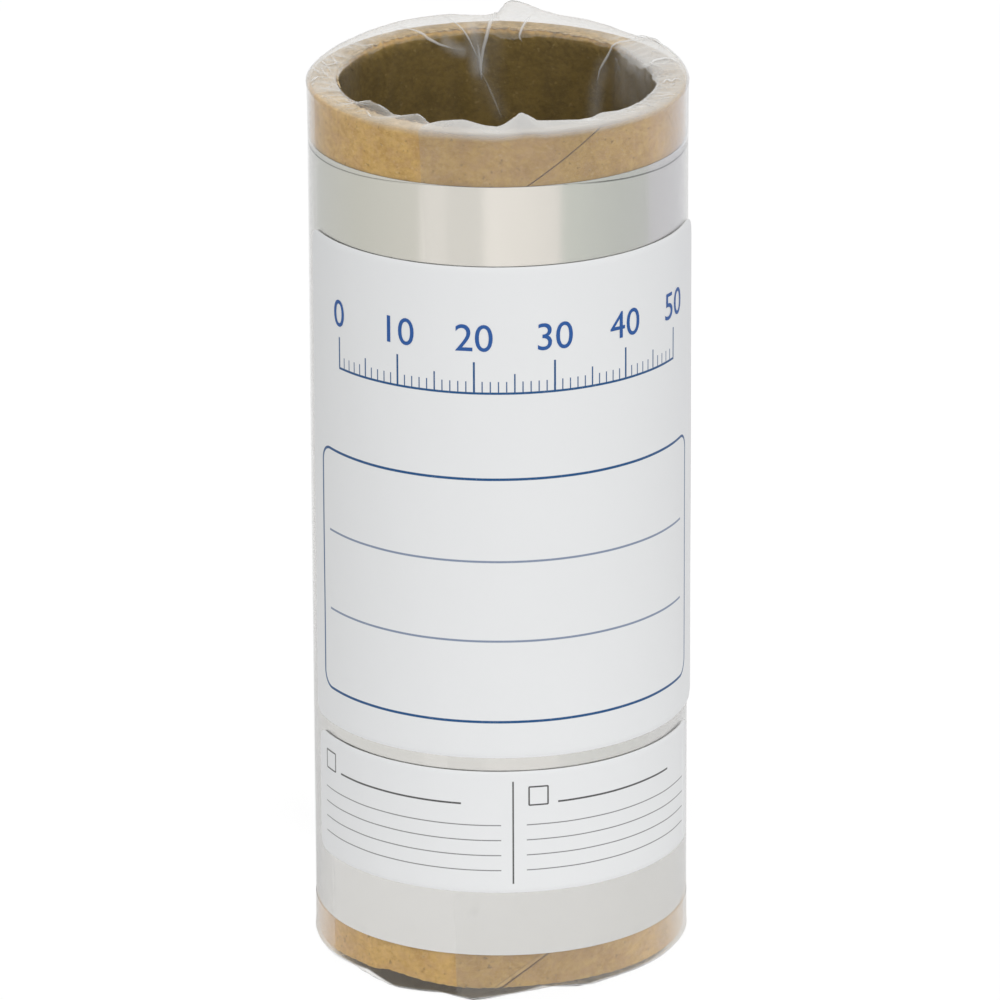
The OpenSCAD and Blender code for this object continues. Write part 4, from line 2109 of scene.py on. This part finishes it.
@dataclass
class Studio:
    """Floor, lights, surroundings and camera.

    Args:
        film: the film that stands on the floor.
        level: height of the edge of the foil that the camera was set up by.
        distance: how far the camera stands from the roll's axis.
        height: its height over that edge.
        yaw: how far it is turned to the right, in radians.
        pitch: how far it looks down.
        roll: how far it is turned about its own axis.
        lens: focal length on a 36 mm wide sensor.
        shade: colour of the floor in the roll's shade.
        shade_slope: how far the shade draws back for each millimetre that the film is off the floor.
        fade: radii from which and to which the sheet round the roll fades.
        light_place: where the soft light is.
        light_aim: where it points.
        light_size: its width and height.
        light_watts: its strength.
        fill: the world's light on surfaces that are not mirror-like.
        side_top: colour of the world above the cards.
        overhead: colour of the world overhead.
    """

    film: FilmWrap
    level: float = 6.22
    distance: float = 1022.49
    height: float = 405.36
    yaw: float = 7.09e-5
    pitch: float = 0.332762
    roll: float = -0.0043804
    lens: float = 310.42
    shade: Colour = (0.085, 0.083, 0.072)
    shade_slope: float = 2.5
    fade: tuple[float, float] = (50.0, 220.0)
    light_place: Vector = field(default_factory=lambda: Vector((250, -1100, 1300)))
    light_aim: Vector = field(default_factory=lambda: Vector((0, 0, 50)))
    light_size: tuple[float, float] = (1000.0, 900.0)
    light_watts: float = 11.5
    fill: Colour = (0.67, 0.67, 0.67)
    side_top: Colour = (0.72, 0.71, 0.68)
    overhead: Colour = (0.5, 0.5, 0.5)

    # Cards that the roll reflects: place once round it, from 0 behind it, and colour.
    CARDS: ClassVar[tuple[tuple[float, Colour], ...]] = (
        (0.0, (1.0, 1.0, 1.0)), (0.02, (0.93, 0.93, 0.93)), (0.034, (0.86, 0.86, 0.86)),
        (0.058, (0.79, 0.79, 0.785)), (0.075, (0.77, 0.77, 0.765)), (0.09, (0.70, 0.705, 0.695)),
        (0.11, (0.625, 0.635, 0.615)), (0.24, (0.66, 0.66, 0.605)), (0.36, (0.735, 0.725, 0.67)),
        (0.372, (0.90, 0.875, 0.83)), (0.406, (0.90, 0.875, 0.83)), (0.418, (0.84, 0.82, 0.775)),
        (0.468, (0.84, 0.82, 0.775)), (0.482, (1.01, 0.975, 0.925)), (0.56, (0.97, 0.935, 0.885)),
        (0.60, (0.92, 0.89, 0.845)), (0.614, (0.71, 0.73, 0.685)), (0.72, (0.62, 0.645, 0.615)),
        (0.785, (0.62, 0.64, 0.625)), (0.797, (0.69, 0.69, 0.73)), (0.88, (0.725, 0.725, 0.77)),
        (0.90, (0.75, 0.75, 0.79)), (0.927, (0.82, 0.82, 0.85)), (0.95, (0.86, 0.86, 0.87)),
        (0.975, (0.82, 0.82, 0.82)),
    )

    def camera(self) -> None:
        """Sets up the camera."""
        level = Vector((math.cos(self.yaw), -math.sin(self.yaw), 0))
        ahead = Vector((math.sin(self.yaw), math.cos(self.yaw), 0))
        forward = ahead * math.cos(self.pitch) - Vector((0, 0, math.sin(self.pitch)))
        upright = level.cross(forward)
        right = math.cos(self.roll) * level + math.sin(self.roll) * upright
        up = math.cos(self.roll) * upright - math.sin(self.roll) * level
        data = bpy.data.cameras.new("camera")
        data.lens, data.sensor_width = self.lens, 36.0
        data.clip_start, data.clip_end = 0.01, 100.0
        camera = bpy.data.objects.new("camera", data)
        turn = Matrix((right, up, -forward)).transposed().to_4x4()
        place = Vector((0, -self.distance, self.height + self.level)) * MM
        camera.matrix_world = Matrix.Translation(place) @ turn
        bpy.context.scene.collection.objects.link(camera)
        bpy.context.scene.camera = camera

    def white(self, name: str, paper: float, glow: float, fades: bool = False) -> bpy.types.Material:
        """Makes the studio's white paper.

        Args:
            name: the material's name.
            paper: share of the light that it scatters.
            glow: light that it gives by itself, outside the roll's shade.
            fades: lets it fade away from the roll.

        Returns:
            The material.
        """
        material, graph = new_material(name)
        plain = (paper, paper, paper)
        tone = graph.mix(graph.noise(graph.place(), 0.02, 2.0), plain, scaled(plain, 0.98))
        shade = graph.mark("shade")
        inputs = {
            "Base Color": graph.mix(shade, tone, self.shade),
            "Roughness": 0.9,
            "Specular IOR Level": 0.0,
            "Emission Color": graph.mix(shade, (1.0, 1.0, 1.0), (0.0, 0.0, 0.0)),
            "Emission Strength": glow,
        }
        if fades:
            start, end = self.fade
            across, deep, _ = graph.parts(graph.place())
            inputs["Alpha"] = ((across**2 + deep**2) ** 0.5).rise(end, start)
        close(graph, graph.node("ShaderNodeBsdfPrincipled", inputs=inputs))
        return material

    def ground(
        self, name: str, rings: np.ndarray, height: float, material: bpy.types.Material
    ) -> bpy.types.Object:
        """Makes a flat round piece of the stage, shaded where the roll's film touches it.

        Args:
            name: its name.
            rings: radii of its rings of points, in millimetres.
            height: its height in millimetres.
            material: its material.

        Returns:
            The piece.
        """
        turn = np.arange(0, 360, 1.5)[None, :]
        radius = rings[:, None]
        forward = np.cos(np.radians(turn))
        off_floor = self.film.sizes.tube_low - self.film.hang.at(turn)
        slope = self.shade_slope * np.maximum(forward, 0.3)
        shade_r = self.film.sleeve_r - 1.0 - off_floor * slope
        soft = 0.3 + 3.0 * np.maximum(0.5 - forward, 0)
        shade = np.clip((shade_r - radius) / soft + 0.5, 0, 1)
        faces = net_faces(rings.size, turn.size, wrap=True).tolist()
        points = ring_points(turn, radius, np.full((1, 1), height))
        piece = new_object(name, points, faces, material, {"shade": shade})
        return piece

    def floor(self) -> None:
        """Lays a wide white floor, and a ring of paper round the roll that shows in its reflections."""
        rings = np.concatenate([[0.5, 8, 13], np.arange(15, 24.1, 0.2), [60, 6000]])
        wide = self.ground("floor", rings, -0.4, self.white("floor_white", 0.03, 0.985))
        wide.visible_glossy = wide.visible_diffuse = False
        sheet = self.white("sheet_white", 0.87, 0.04, fades=True)
        near = self.ground("floor_sheet", np.array([24.0, self.fade[1]]), -0.1, sheet)
        near.visible_camera = near.visible_shadow = False

    def lights(self) -> None:
        """Sets a large soft light above the camera."""
        data = bpy.data.lights.new("soft_box", "AREA")
        data.shape, data.energy = "RECTANGLE", self.light_watts
        data.size, data.size_y = (side * MM for side in self.light_size)
        light = bpy.data.objects.new("soft_box", data)
        facing = (self.light_place - self.light_aim).to_track_quat("Z", "Y").to_matrix().to_4x4()
        light.matrix_world = Matrix.Translation(self.light_place * MM) @ facing
        light.visible_camera = light.visible_glossy = False
        bpy.context.scene.collection.objects.link(light)

    def surroundings(self) -> None:
        """Surrounds the roll with white for the camera, soft light, and broad cards for reflections."""
        world = bpy.data.worlds.new("studio")
        world.use_nodes = True
        world.node_tree.nodes.clear()
        bpy.context.scene.world = world
        graph = Graph(world.node_tree)
        x, y, z = graph.parts(graph.node("ShaderNodeTexCoord", output="Generated"))
        turn = x.maths("ARCTAN2", y * -1.0) / (2 * math.pi) + 0.5
        cards = graph.node("ShaderNodeValToRGB", {"stops": self.CARDS}, {0: turn})
        cards = graph.mix(z.rise(0.02, 0.2), cards, self.side_top)
        cards = graph.mix(z.rise(0.5, 0.85), cards, self.overhead)
        rays = graph.node("ShaderNodeLightPath").socket.node.outputs
        light = graph.mix(Wire(graph, rays["Is Glossy Ray"]), self.fill, cards)
        light = graph.mix(Wire(graph, rays["Is Camera Ray"]), light, (1.0, 1.0, 1.0))
        close(graph, graph.node("ShaderNodeBackground", inputs={"Color": light}), "ShaderNodeOutputWorld")

    def build(self) -> None:
        """Sets up the stage and how colours are shown."""
        self.camera()
        self.floor()
        self.lights()
        self.surroundings()
        scene = bpy.context.scene
        scene.view_settings.view_transform = "Standard"
        scene.view_settings.look = "None"
        scene.cycles.transparent_max_bounces = 24


def main() -> None:
    """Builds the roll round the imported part."""
    logging.basicConfig(level=logging.INFO, format="%(name)s: %(message)s")
    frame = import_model()
    sizes = RollSizes.from_frame(frame["record"])
    film = FilmWrap(sizes)
    for part in (PaperTube(sizes), FoilCoil(sizes), film, *labels(sizes)):
        for piece in part.build():
            LOG.info("%s: %d faces", piece.name, len(piece.data.polygons))
    Studio(film).build()
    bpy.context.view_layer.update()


if __name__ == "__main__":
    main()
